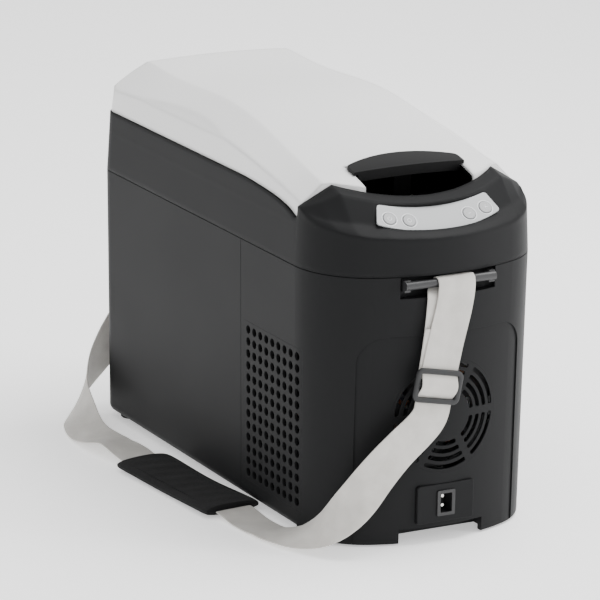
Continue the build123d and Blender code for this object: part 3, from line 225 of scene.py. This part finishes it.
def add_bump(tree, shader, height, distance, strength=1.0):
    """Height socket into the shader's normal, so many metres high."""
    bump = tree.nodes.new("ShaderNodeBump")
    bump.inputs["Distance"].default_value = distance
    bump.inputs["Strength"].default_value = strength
    tree.links.new(height, bump.inputs["Height"])
    tree.links.new(bump.outputs["Normal"], shader.inputs["Normal"])


def tint(tree, shader, factor, low, high):
    """Colour between two tints by a factor socket: the mix node's colour sockets are taken by place."""
    ramp = tree.nodes.new("ShaderNodeMix")
    ramp.data_type = "RGBA"
    ramp.inputs[6].default_value = (*low, 1)
    ramp.inputs[7].default_value = (*high, 1)
    tree.links.new(factor, ramp.inputs[0])
    tree.links.new(ramp.outputs[2], shader.inputs["Base Color"])


webbing_weave, tree, shader = plain_material("webbing_weave", (0.50, 0.48, 0.44), 0.78)
shader.inputs["Sheen Weight"].default_value = 0.25
shader.inputs["Sheen Roughness"].default_value = 0.4
uv_map = tree.nodes.new("ShaderNodeUVMap")
uv_map.uv_map = "weave"
parts = tree.nodes.new("ShaderNodeSeparateXYZ")
tree.links.new(uv_map.outputs["UV"], parts.inputs[0])
warp = math_node(tree, "MULTIPLY", parts.outputs["X"], 2 * math.pi / RIB_PITCH)
weft = math_node(tree, "MULTIPLY", parts.outputs["Y"], 2 * math.pi / PICK_PITCH)
rib = math_node(tree, "SINE", math_node(tree, "ADD", warp, weft))
cross_rib = math_node(tree, "SINE", math_node(tree, "MULTIPLY", warp, 2.0))
ridge = math_node(tree, "MULTIPLY", rib, 0.5)
weave = math_node(tree, "ADD", ridge, math_node(tree, "MULTIPLY", cross_rib, 0.25))
edge = math_node(tree, "GREATER_THAN", math_node(tree, "ABSOLUTE", parts.outputs["X"]), SELVEDGE_AT)
add_bump(tree, shader, math_node(tree, "ADD", weave, math_node(tree, "MULTIPLY", edge, 0.6)), 0.00025, 0.7)
shade = math_node(tree, "ADD", math_node(tree, "MULTIPLY", weave, 0.35), object_noise(tree, 60, 6))
tint(tree, shader, shade, (0.44, 0.42, 0.39), (0.68, 0.66, 0.62))

# The bar's centre, along and up, and the webbing's centreline radius round it, in millimetres.
FRONT_BAR = (246.8, 249.5)
LOOP_R = 5.3


def bar_turn(end, lean, start, stop, count):
    """Stations round a strap bar: points of a circle about the bar from one angle to another.  The end
    is 1 at the front and -1 at the rear; lean is the sideways place at the first and last station."""
    angles = np.radians(np.linspace(start, stop, count))
    sway = np.linspace(lean[0], lean[1], count)
    return [
        ((end * (FRONT_BAR[0] + LOOP_R * math.cos(a)), y, FRONT_BAR[1] + LOOP_R * math.sin(a)), (0, 1, 0))
        for a, y in zip(angles, sway)
    ]


strap_stations = bar_turn(1, (3.5, 4.5), 180, 0, 7) + [
    ((253.2, 3.9, 243.0), (0, 1, 0)),
    ((254.0, 1.6, 230.0), (0, 1, -0.03)),
    ((254.6, -2.0, 216.0), (0, 1, -0.08)),
    ((255.6, -8.0, 196.0), (0, 0.985, -0.17)),
    ((256.4, -13.0, 174.5), (0, 0.98, -0.2)),
    ((256.2, -14.4, 167.0), (0, 0.98, -0.2)),
    ((260.6, -15.8, 161.0), (0, 0.98, -0.2)),
    ((263.9, -17.2, 155.0), (0, 0.98, -0.2)),
    ((260.6, -18.4, 149.0), (0, 0.98, -0.2)),
    ((256.0, -19.8, 143.5), (0, 0.98, -0.2)),
    ((257.4, -21.4, 136.0), (0, 0.97, -0.24)),
    ((258.8, -25.0, 126.5), (0, 0.93, -0.36)),
    ((258.9, -35.0, 116.0), (0, 0.8, -0.6)),
    ((258.5, -56.0, 100.0), (0.05, 0.7, -0.71)),
    ((256.5, -78.0, 78.0), (0.2, 0.55, -0.81)),
    ((251.0, -98.0, 50.0), (0.42, 0.25, -0.87)),
    ((236.0, -113.0, 28.0), (0.5, -0.25, -0.83)),
    ((213.0, -124.0, 15.5), (0.3, -0.75, -0.6)),
    ((188.0, -131.0, 7.5), (0.1, -0.97, -0.25)),
    ((160.0, -136.0, 2.2), (0, -1, 0)),
    ((130.0, -139.0, 1.6), (0, -1, 0)),
    ((108.0, -140.5, 5.0), (0, -1, 0)),
    ((96.0, -141.2, 6.2), (0, -1, 0)),
    ((12.0, -148.0, 6.2), (0, -1, 0)),
    ((-72.6, -155.0, 6.2), (0, -1, 0)),
    ((-92.0, -157.0, 9.0), (0, -1, 0)),
    ((-118.0, -161.0, 13.0), (0.1, -0.97, 0.1)),
    ((-145.0, -165.0, 9.0), (0.2, -0.97, -0.1)),
    ((-175.0, -166.0, 7.0), (0.1, -0.95, -0.3)),
    ((-208.0, -159.0, 12.0), (-0.2, -0.8, -0.5)),
    ((-240.0, -144.0, 21.0), (-0.35, -0.3, -0.9)),
    ((-262.0, -122.0, 38.0), (-0.3, 0.1, -0.93)),
    ((-271.0, -92.0, 72.0), (-0.1, 0.6, -0.75)),
    ((-270.0, -62.0, 115.0), (0, 0.8, -0.6)),
    ((-264.0, -33.0, 165.0), (0, 0.9, -0.42)),
    ((-258.0, -11.0, 212.0), (0, 0.97, -0.2)),
    ((-254.2, -2.0, 236.0), (0, 1, 0)),
    ((-253.0, 1.5, 244.0), (0, 1, 0)),
] + bar_turn(-1, (3.0, 3.0), 0, 180, 7)
shoulder_strap, strap_line = webbing_piece("shoulder_strap", strap_stations, 0.0035)

front_tail, _ = webbing_piece(
    "strap_front_tail",
    [
        ((241.5, 3.5, 249.5), (0, 1, 0)),
        ((241.5, 0.0, 245.2), (0, 1, 0)),
        ((244.2, -3.2, 242.6), (0, 1, 0)),
        ((248.6, -5.4, 240.9), (0, 1, 0)),
        ((251.4, -6.6, 237.2), (0, 1, 0)),
        ((251.9, -7.6, 226.0), (0, 1, 0)),
        ((252.2, -9.6, 205.0), (0, 1, -0.06)),
        ((252.6, -13.6, 178.0), (0, 1, -0.12)),
        ((253.4, -16.8, 160.0), (0, 0.98, -0.2)),
    ],
    0.002,
    False,
)
keeper, _ = webbing_piece(
    "strap_front_keeper",
    [
        ((254.3, -10.4, 208.0), (0, 1, -0.06)),
        ((254.5, -12.4, 192.0), (0, 1, -0.1)),
        ((254.5, -14.6, 178.0), (0, 0.99, -0.14)),
        ((254.9, -16.4, 168.0), (0, 0.98, -0.2)),
    ],
    0.003,
    False,
)
rear_tail, _ = webbing_piece(
    "strap_rear_tail",
    [
        ((-241.5, 3.0, 249.5), (0, 1, 0)),
        ((-241.5, 3.0, 245.2), (0, 1, 0)),
        ((-244.2, 2.8, 242.6), (0, 1, 0)),
        ((-248.6, 2.2, 240.9), (0, 1, 0)),
        ((-251.4, 0.8, 237.2), (0, 1, 0)),
        ((-251.9, -1.5, 226.0), (0, 1, 0)),
        ((-252.2, -7.0, 200.0), (0, 1, -0.1)),
    ],
    0.003,
    False,
)

# ---- Stitching: grey polyester thread sewn through both layers where the strap's ends are doubled.
STITCH_LENGTH = 0.0026
STITCH_GAP = 0.0012
STITCH_RADIUS = 0.00045


def stitches(name, rows, across, facing, body, material):
    """Rows of thread stitches: each a small ellipsoid, its long axis along the row."""
    turn = np.linspace(0, 2 * np.pi, 8, endpoint=False)
    lat = np.linspace(-np.pi / 2, np.pi / 2, 5)[1:-1]
    points, faces = [], []
    for start, end in rows:
        start, end = np.array(start), np.array(end)
        span = np.linalg.norm(end - start)
        run = (end - start) / span
        side = np.cross(facing, run)
        count = max(1, int(span / (STITCH_LENGTH + STITCH_GAP)))
        for k in range(count):
            middle = start + (end - start) * (k + 0.5) / count
            along = STITCH_LENGTH / 2 * np.sin(lat)
            girth = STITCH_RADIUS * np.cos(lat)
            ring = (
                middle
                + along[:, None, None] * run
                + girth[:, None, None]
                * (np.cos(turn)[None, :, None] * side + np.sin(turn)[None, :, None] * facing)
            )
            base = len(points)
            points += ring.reshape(-1, 3).tolist()
            for r in range(2):
                for c in range(8):
                    a, b = base + 8 * r + c, base + 8 * r + (c + 1) % 8
                    faces.append((a, b, b + 8, a + 8))
            faces.append(tuple(base + c for c in reversed(range(8))))
            faces.append(tuple(base + 16 + c for c in range(8)))
    mesh = bpy.data.meshes.new(name)
    mesh.from_pydata(points, [], faces)
    mesh.shade_smooth()
    return new_piece(name, mesh, material, body)


thread, tree, shader = plain_material("thread", (0.33, 0.32, 0.30), 0.6)
strand = tree.nodes.new("ShaderNodeTexWave")
strand.inputs["Scale"].default_value = 900
coordinates = tree.nodes.new("ShaderNodeTexCoord")
tree.links.new(coordinates.outputs["Object"], strand.inputs["Vector"])
add_bump(tree, shader, strand.outputs["Fac"], 0.0002, 0.5)

seam_middle = np.array((0.25525, -0.0112, 0.2))
seam_across = np.array((0.0, 0.998, -0.06))
seam_reach = 0.014 * seam_across
stitch_rows = [
    (seam_middle - seam_reach + (0, 0, up), seam_middle + seam_reach + (0, 0, up)) for up in (0.0035, -0.0035)
]
seam_facing = np.array((1.0, 0.0, 0.0))
stitches("strap_front_stitches", stitch_rows, seam_across, seam_facing, "cabinet", thread)

# ---- Slider: a black acetal tri-glide buckle, moulded in one piece, with rounded bars and a middle
# bar that the webbing climbs over.
SLIDER_CENTRE = np.array((0.2591, -0.0172, 0.155))
SLIDER_ACROSS = unit(np.array((0.0, 0.98, -0.2)))
SLIDER_FACING = np.array((1.0, 0.0, 0.02))
SLIDER_HALF_W = 0.0222
SLIDER_HALF_H = 0.0135
SLIDER_CORNER = 0.004
RIM_WIDTH = 0.0052
RIM_DEPTH = 0.0036
MIDDLE_BAR_REACH = 0.0215
MIDDLE_BAR_RADII = (0.0023, 0.0015)


def loop_tube(centre, across, up, half_w, half_h, corner, bar, deep):
    """Rounded rectangle of a bar whose section is an ellipse, swept round the frame."""
    corners = []
    for sx, sy, start in ((1, 1, 0), (-1, 1, 90), (-1, -1, 180), (1, -1, 270)):
        a = np.radians(np.linspace(start, start + 90, 8))
        corners.append(
            np.stack(
                [sx * (half_w - corner) + corner * np.cos(a), sy * (half_h - corner) + corner * np.sin(a)],
                axis=1,
            )
        )
    path = np.vstack(corners)
    tangent = unit(np.roll(path, -1, axis=0) - np.roll(path, 1, axis=0))
    outward = np.stack([tangent[:, 1], -tangent[:, 0]], axis=1)
    turn = np.linspace(0, 2 * np.pi, 16, endpoint=False)
    wide = np.sign(np.cos(turn)) * np.abs(np.cos(turn)) ** 0.6 * bar / 2
    tall = np.sign(np.sin(turn)) * np.abs(np.sin(turn)) ** 0.6 * deep / 2
    flat = path[:, None] + outward[:, None] * wide[None, :, None]
    facing = np.cross(across, up)
    grid = (
        centre
        + flat[..., :1] * across
        + flat[..., 1:] * up
        + np.broadcast_to(tall[None, :, None], flat.shape[:2] + (1,)) * facing
    )
    return np.vstack([grid, grid[:1]])


def join_meshes(name, meshes):
    """One mesh from several, their points and faces listed one after the other."""
    points, faces = [], []
    for mesh in meshes:
        base = len(points)
        co = np.empty(3 * len(mesh.vertices))
        mesh.vertices.foreach_get("co", co)
        points += co.reshape(-1, 3).tolist()
        faces += [tuple(base + v for v in face.vertices) for face in mesh.polygons]
        bpy.data.meshes.remove(mesh)
    joined = bpy.data.meshes.new(name)
    joined.from_pydata(points, [], faces)
    joined.shade_smooth()
    return joined


def weld(mesh, distance=1e-6):
    """Doubles merged and every face turned outwards."""
    work = bmesh.new()
    work.from_mesh(mesh)
    bmesh.ops.remove_doubles(work, verts=work.verts, dist=distance)
    bmesh.ops.recalc_face_normals(work, faces=work.faces)
    work.to_mesh(mesh)
    work.free()
    return mesh


slider_up = np.cross(SLIDER_FACING, SLIDER_ACROSS)
slider_rim = loop_tube(
    SLIDER_CENTRE,
    SLIDER_ACROSS,
    slider_up,
    SLIDER_HALF_W,
    SLIDER_HALF_H,
    SLIDER_CORNER,
    RIM_WIDTH,
    RIM_DEPTH,
)
bar_ends = np.linspace(-MIDDLE_BAR_REACH, MIDDLE_BAR_REACH, 24)
bar_turns = np.linspace(0, 2 * np.pi, 16, endpoint=False)
slider_bar = (
    SLIDER_CENTRE
    + bar_ends[:, None, None] * SLIDER_ACROSS
    + MIDDLE_BAR_RADII[0] * np.cos(bar_turns)[None, :, None] * slider_up
    + MIDDLE_BAR_RADII[1] * np.sin(bar_turns)[None, :, None] * np.cross(SLIDER_ACROSS, slider_up)
)
slider_mesh = weld(
    join_meshes(
        "strap_buckle",
        [grid_mesh("rim", slider_rim, True, False), grid_mesh("bar", slider_bar, True, True)],
    )
)
acetal, tree, shader = plain_material("acetal", (0.02, 0.0205, 0.0215), 0.42)
shader.inputs["Specular IOR Level"].default_value = 0.3
add_bump(tree, shader, object_noise(tree, 2200), 0.00005, 0.6)
strap_buckle = new_piece("strap_buckle", slider_mesh, acetal, "cabinet")
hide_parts("strap_slider")

# ---- Shoulder pad: a flat sleeve of black knitted fabric over soft foam, sewn shut along both long
# sides, with the webbing passing through it.
PAD_FRONT = np.array((0.0965, -0.1410))
PAD_REAR = np.array((-0.0720, -0.1550))
PAD_HALF_W = 0.0288
PAD_MID_Z = 0.0060
PAD_HALF_T = 0.0048
PAD_SEAM_LIFT = 0.0037
PAD_SEAM_INSET = 0.0066
PAD_SEAM_END = 0.012
COURSE_PITCH = 0.0014
WALE_PITCH = 0.0012


def pad_grid(rows=150, cols=128):
    """Crowned sleeve: a flat ellipse-like section along the pad, drawn in at the ends, pinched to a
    sewn edge on each side, with shallow cross wrinkles and a soft sag of the long edges."""
    s = np.linspace(0, 1, rows)[:, None]
    turn = np.linspace(0, 2 * np.pi, cols, endpoint=False)[None]
    side = np.sign(np.cos(turn)) * np.abs(np.cos(turn)) ** 0.75
    skin = np.sign(np.sin(turn)) * np.abs(np.sin(turn)) ** 0.62
    end = np.minimum(s, 1 - s)
    close = np.clip(end / 0.012, 0, 1)
    half_w = PAD_HALF_W * (0.93 + 0.07 * np.clip(end / 0.05, 0, 1) ** 0.5) - 0.0014 * np.sin(np.pi * s) ** 2
    wrinkle = 0.00035 * np.sin(2 * np.pi * (4.2 * s + 0.25 * side)) * np.sin(np.pi * s)
    wrinkle += 0.00022 * np.sin(2 * np.pi * (9.1 * s - 0.4 * side) + 1.3)
    half_t = PAD_HALF_T * (0.55 + 0.45 * close**0.5) + wrinkle * (1 - side**2)
    seam = 0.0011 * np.exp(-(((1 - np.abs(side)) / 0.05) ** 2)) * np.sign(side)
    run = PAD_REAR - PAD_FRONT
    length = np.linalg.norm(run)
    run = run / length
    across = np.array((-run[1], run[0]))
    far = s * length
    wide = half_w * side + seam
    droop = -0.0006 * np.abs(side) ** 3
    up = half_t * skin + droop + 0.0008 * np.cos(2 * np.pi * s)
    x = PAD_FRONT[0] + run[0] * far + across[0] * wide
    y = PAD_FRONT[1] + run[1] * far + across[1] * wide
    z = np.maximum(PAD_MID_Z + up, 0.0009)
    uv = np.stack(np.broadcast_arrays(wide, far), axis=-1)
    return np.stack([x, y, z], axis=-1), uv


pad_points, pad_uv = pad_grid()
pad_knit, tree, shader = plain_material("pad_knit", (0.006, 0.006, 0.0065), 0.92)
shader.inputs["Specular IOR Level"].default_value = 0.15
shader.inputs["Sheen Weight"].default_value = 0.06
shader.inputs["Sheen Roughness"].default_value = 0.5
uv_map = tree.nodes.new("ShaderNodeUVMap")
uv_map.uv_map = "weave"
parts = tree.nodes.new("ShaderNodeSeparateXYZ")
tree.links.new(uv_map.outputs["UV"], parts.inputs[0])
course = math_node(tree, "SINE", math_node(tree, "MULTIPLY", parts.outputs["Y"], 2 * math.pi / COURSE_PITCH))
wale = math_node(tree, "SINE", math_node(tree, "MULTIPLY", parts.outputs["X"], 2 * math.pi / WALE_PITCH))
fuzz = object_noise(tree, 700, 5)
knit = math_node(tree, "ADD", math_node(tree, "MULTIPLY", course, wale), fuzz)
add_bump(tree, shader, knit, 0.0003, 0.7)
tint(tree, shader, fuzz, (0.004, 0.004, 0.0045), (0.010, 0.010, 0.0105))
pad_mesh = grid_mesh("strap_pad", pad_points, True, True, pad_uv)
pad = new_piece("strap_pad", pad_mesh, pad_knit, "cabinet")
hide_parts("shoulder_pad")

pad_run = unit(np.r_[PAD_REAR - PAD_FRONT, 0.0])
pad_across = np.array((-pad_run[1], pad_run[0], 0.0))
pad_seam_z = PAD_MID_Z + PAD_SEAM_LIFT
pad_seam_half = PAD_HALF_W - PAD_SEAM_INSET
stitches(
    "strap_pad_seams",
    [
        (
            np.r_[PAD_FRONT, pad_seam_z] + PAD_SEAM_END * pad_run + side * pad_seam_half * pad_across,
            np.r_[PAD_REAR, pad_seam_z] - PAD_SEAM_END * pad_run + side * pad_seam_half * pad_across,
        )
        for side in (-1, 1)
    ],
    pad_across,
    np.array((0.0, 0.0, 1.0)),
    "cabinet",
    pad_knit,
)

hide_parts("strap_front_loop")
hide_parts("strap_webbing")
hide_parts("strap_rear_run")

# ---- Cabinet: the lower shells and the collar are injection-moulded charcoal ABS with a fine spark
# texture; small radii soften every edge and the joints between shells are narrow shadow gaps.


def moulded(name, colour, roughness, grain_scale, grain_height, edge, spread=0.12, coat=0.0, shine=0.5):
    """Moulded plastic: a fine grain bump over edges rounded by a shading radius, with a slow drift of
    tone and gloss.  The spread is the drift's share of the colour."""
    material, tree, shader = plain_material(name, colour, roughness)
    shader.inputs["Coat Weight"].default_value = coat
    shader.inputs["Specular IOR Level"].default_value = shine
    shader.inputs["Coat Roughness"].default_value = 0.3
    drift = object_noise(tree, 9, 4)
    soft = tree.nodes.new("ShaderNodeBevel")
    soft.samples = 4
    soft.inputs["Radius"].default_value = edge
    bump = tree.nodes.new("ShaderNodeBump")
    bump.inputs["Distance"].default_value = grain_height
    bump.inputs["Strength"].default_value = 0.8
    tree.links.new(object_noise(tree, grain_scale, 3), bump.inputs["Height"])
    tree.links.new(soft.outputs["Normal"], bump.inputs["Normal"])
    tree.links.new(bump.outputs["Normal"], shader.inputs["Normal"])
    low = tuple(c * (1 - spread) for c in colour)
    high = tuple(c * (1 + spread) for c in colour)
    tint(tree, shader, drift, low, high)
    gloss = math_node(tree, "MULTIPLY", drift, 0.1)
    tree.links.new(math_node(tree, "ADD", gloss, roughness - 0.05), shader.inputs["Roughness"])
    return material


def dress(material, *names):
    """Puts a material in every slot of these nodes of the fixed frame."""
    for name in names:
        node = nodes[name]
        node.data.materials.clear()
        node.data.materials.append(material)


CHARCOAL = (0.0112, 0.0114, 0.0119)
charcoal = moulded("charcoal_abs", CHARCOAL, 0.46, 1900, 0.00006, 0.0009, shine=0.07)
collar_charcoal = moulded("collar_charcoal", CHARCOAL, 0.46, 1900, 0.00006, 0.006, shine=0.07)
dress(charcoal, "rear_shell", "compressor_housing", "left_vent_grille", "right_vent_grille")
dress(charcoal, "fan_grille", "inlet_panel")
dress(collar_charcoal, "collar")

# ---- Lid: a crowned white shell moulded in gloss-controlled ABS, with a skirt, two soft creases on
# each side and a raked rear.
lid_white = moulded("lid_white", (0.80, 0.80, 0.795), 0.42, 1500, 0.00003, 0.007, spread=0.01)
dress(lid_white, "lid_shell")

# ---- Food compartment: a thin thermoformed liner, glossy and pale, the lid's liner with its plug,
# and the grey sealing gasket round the mouth.
liner_gloss = moulded("liner_gloss", (0.74, 0.76, 0.77), 0.22, 700, 0.00001, 0.001, spread=0.01)
dress(liner_gloss, "inner_liner", "lid_liner")
seal_rubber = moulded("seal_rubber", (0.06, 0.062, 0.066), 0.6, 1200, 0.00003, 0.0004)
dress(seal_rubber, "lid_gasket")

# ---- Insulation: cream polyurethane foam between the shells and the liner and inside the lid.
foam_cells, tree, shader = plain_material("foam_cells", (0.72, 0.62, 0.38), 0.9)
cells = tree.nodes.new("ShaderNodeTexVoronoi")
cells.inputs["Scale"].default_value = 420
coordinates = tree.nodes.new("ShaderNodeTexCoord")
tree.links.new(coordinates.outputs["Object"], cells.inputs["Vector"])
add_bump(tree, shader, cells.outputs["Distance"], 0.0008, 0.8)
tint(tree, shader, cells.outputs["Distance"], (0.60, 0.50, 0.28), (0.80, 0.71, 0.47))
dress(foam_cells, "foam_insulation", "lid_foam")

# ---- Latch: a black satin lever handle over a black pocket, on a ground steel pin; the pocket's black carries painted shade of the recess.
handle_black = moulded("handle_black", (0.002, 0.002, 0.0022), 0.36, 1500, 0.00003, 0.0007, shine=0.1)
# The pocket and strike black is darker than the handle's: black plastic with painted shade of the recess in
# its colour.
pocket_black = moulded("pocket_black", (0.0006, 0.0006, 0.0006), 0.9, 1500, 0.00005, 0.0005, shine=0.02)
dress(handle_black, "latch_handle")
dress(pocket_black, "latch_pocket", "latch_strike")


def turned_metal(name, colour, roughness, scale):
    """Drawn metal: fine streaks from a stretched noise, in the roughness and the bump."""
    material, tree, shader = plain_material(name, colour, roughness, 1.0)
    place = tree.nodes.new("ShaderNodeTexCoord")
    stretch = tree.nodes.new("ShaderNodeMapping")
    stretch.inputs["Scale"].default_value = scale
    streak = tree.nodes.new("ShaderNodeTexNoise")
    streak.inputs["Scale"].default_value = 300
    streak.inputs["Detail"].default_value = 4
    tree.links.new(place.outputs["Object"], stretch.inputs["Vector"])
    tree.links.new(stretch.outputs["Vector"], streak.inputs["Vector"])
    add_bump(tree, shader, streak.outputs["Fac"], 0.00005, 0.4)
    wander = math_node(tree, "MULTIPLY", streak.outputs["Fac"], 0.25)
    tree.links.new(math_node(tree, "ADD", wander, roughness - 0.12), shader.inputs["Roughness"])
    return material


pin_steel = turned_metal("pin_steel", (0.55, 0.56, 0.57), 0.3, (1, 0.05, 1))
dress(pin_steel, "latch_pin", "left_hinge_pin", "right_hinge_pin")

# ---- Control fascia: a silver-grey film on a thin plate over the green circuit board.  Each of the
# four round grey keys carries a plain raised sign and has a pale ring round it.
fascia_silver = moulded("fascia_silver", (0.36, 0.37, 0.375), 0.38, 2500, 0.00002, 0.0004, spread=0.04)
key_grey = moulded("key_grey", (0.30, 0.305, 0.31), 0.35, 2500, 0.00002, 0.0004, spread=0.04)
key_mark = moulded("key_mark", (0.75, 0.76, 0.77), 0.4, 2500, 0.00001, 0.0001, spread=0.02)
FASCIA_CENTRE = np.array((0.2249, 0.0, 0.3032))
FASCIA_TURN = math.radians(42.3)
RING_RADIUS = 0.0074
RING_BEAD = 0.00042
RING_LEVEL = 0.00008
SIGN_RADIUS = 0.0019
SIGN_REACH = 0.0020
SIGN_BEAD = 0.00026
SIGN_LEVEL = 0.00083
fascia_normal = np.array((math.sin(FASCIA_TURN), 0.0, math.cos(FASCIA_TURN)))
fascia_side = np.array((0.0, 1.0, 0.0))
fascia_slope = np.cross(fascia_normal, fascia_side)


def raised_line(name, place, level, outline, radius, closed):
    """Thin round bead along a flat outline on the fascia plane: a circle of the given radius carried
    along each point, flattened to a third of its width."""
    path = np.array(outline)
    ahead = np.roll(path, -1, axis=0) - np.roll(path, 1, axis=0) if closed else np.gradient(path, axis=0)
    tangent = unit(ahead)
    outward = np.stack([tangent[:, 1], -tangent[:, 0]], axis=1)
    turn = np.linspace(0, 2 * np.pi, 8, endpoint=False)
    flat = path[:, None] + outward[:, None] * (radius * np.cos(turn))[None, :, None]
    height = np.broadcast_to((level + radius / 3 * np.sin(turn))[None, :, None], flat.shape[:2] + (1,))
    centre = FASCIA_CENTRE + place[0] * fascia_side + place[1] * fascia_slope
    grid = centre + flat[..., :1] * fascia_side + flat[..., 1:] * fascia_slope + height * fascia_normal
    if closed:
        grid = np.vstack([grid, grid[:1]])
    return grid_mesh(name, grid, True, not closed)


def arc_points(radius, start, stop, count):
    """Points of a circular arc between two angles in degrees."""
    angles = np.radians(np.linspace(start, stop, count))
    return np.stack([radius * np.cos(angles), radius * np.sin(angles)], axis=1)


key_places = {
    "power": (-0.0500, 0.0052),
    "select": (-0.0313, 0.0008),
    "colder": (0.0313, 0.0008),
    "warmer": (0.0500, 0.0052),
}
level_stroke = np.array([(-SIGN_REACH, 0.0), (SIGN_REACH, 0.0)])
key_signs = {
    "power": [arc_points(SIGN_RADIUS, 125, 415, 22), np.array([(0.0, 0.0006), (0.0, 0.0026)])],
    "select": [arc_points(SIGN_RADIUS, 0, 354, 30)],
    "colder": [level_stroke],
    "warmer": [level_stroke, level_stroke[:, ::-1]],
}
for key, place in key_places.items():
    circle = arc_points(RING_RADIUS, 0, 352.5, 48)
    ring_mesh = weld(raised_line("ring", place, RING_LEVEL, circle, RING_BEAD, True))
    ring_mesh.name = key + "_ring"
    new_piece(key + "_ring", ring_mesh, key_mark, "cabinet")
    signs = [raised_line("sign", place, SIGN_LEVEL, sign, SIGN_BEAD, False) for sign in key_signs[key]]
    new_piece(key + "_sign", weld(join_meshes(key + "_sign", signs)), key_mark, key + "_key")
board_green = moulded("board_green", (0.012, 0.09, 0.04), 0.4, 900, 0.00005, 0.0002, spread=0.2)
dress(fascia_silver, "display_fascia")
dress(key_grey, "power_button", "select_button", "colder_button", "warmer_button")
dress(board_green, "display_board")

# ---- Strap bars, feet and base: black painted steel bars in the end pockets, four moulded rubber
# feet and a painted steel base plate.
bar_paint = moulded("bar_paint", (0.02, 0.02, 0.021), 0.4, 900, 0.00004, 0.0005)
foot_rubber = moulded("foot_rubber", (0.012, 0.012, 0.012), 0.85, 1100, 0.00012, 0.0008)
dress(bar_paint, "front_strap_bar", "rear_strap_bar", "base_plate")
dress(foot_rubber, "front_left_foot", "front_right_foot", "rear_left_foot", "rear_right_foot")

# ---- Supply inlet: a black socket with two round nickel-plated pins, in a charcoal panel.
socket_black = moulded("socket_black", (0.008, 0.008, 0.009), 0.4, 1800, 0.00003, 0.0004)
contact_nickel = turned_metal("contact_nickel", (0.78, 0.76, 0.72), 0.22, (0.05, 1, 1))
dress(socket_black, "inlet_socket")
dress(contact_nickel, "inlet_pins")

# ---- Cooling unit: a black enamelled compressor on rubber grommets, its controller, an aluminium
# fin condenser on a copper tube, the copper filter drier and the black axial fan.
enamel = moulded("enamel", (0.012, 0.012, 0.013), 0.28, 260, 0.00015, 0.0012, spread=0.2, coat=0.4)
case_black = moulded("case_black", (0.02, 0.02, 0.022), 0.5, 1300, 0.00006, 0.0006)
fan_black = moulded("fan_black", (0.014, 0.014, 0.015), 0.42, 1400, 0.00004, 0.0005)
fin_aluminium = turned_metal("fin_aluminium", (0.72, 0.73, 0.74), 0.32, (1, 1, 0.08))
tube_copper = turned_metal("tube_copper", (0.62, 0.28, 0.16), 0.3, (1, 0.06, 1))
sheet_aluminium = turned_metal("sheet_aluminium", (0.75, 0.76, 0.77), 0.4, (0.08, 1, 1))
dress(enamel, "compressor")
dress(foot_rubber, "compressor_grommets")
dress(case_black, "compressor_controller")
dress(fin_aluminium, "condenser_fins")
dress(tube_copper, "condenser_tube", "filter_drier")
dress(sheet_aluminium, "evaporator_sheet")
dress(fan_black, "fan_rotor", "fan_frame")

# ---- Studio: a pale, faintly glowing floor, a broad soft light above, a tall soft light to the right
# of the front, a faint one behind on the left, and a white sky.
floor_mesh = bpy.data.meshes.new("studio_floor")
floor_mesh.from_pydata([(-9, -9, 0), (9, -9, 0), (9, 9, 0), (-9, 9, 0)], [], [(0, 1, 2, 3)])
floor = bpy.data.objects.new("studio_floor", floor_mesh)
scene.collection.objects.link(floor)
floor_paint, tree, shader = plain_material("floor_paint", (0.96, 0.96, 0.96), 0.8)
shader.inputs["Emission Color"].default_value = (1, 1, 1, 1)
shader.inputs["Emission Strength"].default_value = 0.55
floor_mesh.materials.append(floor_paint)

sky = bpy.data.worlds.new("sky")
scene.world = sky
sky.use_nodes = True
sky.node_tree.nodes["Background"].inputs["Color"].default_value = (1, 1, 1, 1)
sky.node_tree.nodes["Background"].inputs["Strength"].default_value = 1.2


def soft_light(name, place, target, width, height, power):
    """Rectangular soft light aimed from a place at a target."""
    light = bpy.data.lights.new(name, "AREA")
    light.shape = "RECTANGLE"
    light.size = width
    light.size_y = height
    light.energy = power
    lamp = bpy.data.objects.new(name, light)
    scene.collection.objects.link(lamp)
    lamp.location = place
    lamp.rotation_euler = (Vector(target) - Vector(place)).to_track_quat("-Z", "Y").to_euler()


soft_light("top_light", (0.2, 0.9, 2.3), (0, 0, 0.3), 1.4, 1.4, 62)
soft_light("front_light", (1.7, 1.9, 0.7), (0.2, 0, 0.2), 0.4, 1.8, 34)
soft_light("edge_light", (-1.5, -2.2, 0.8), (-0.1, -0.1, 0.2), 0.3, 1.6, 2)
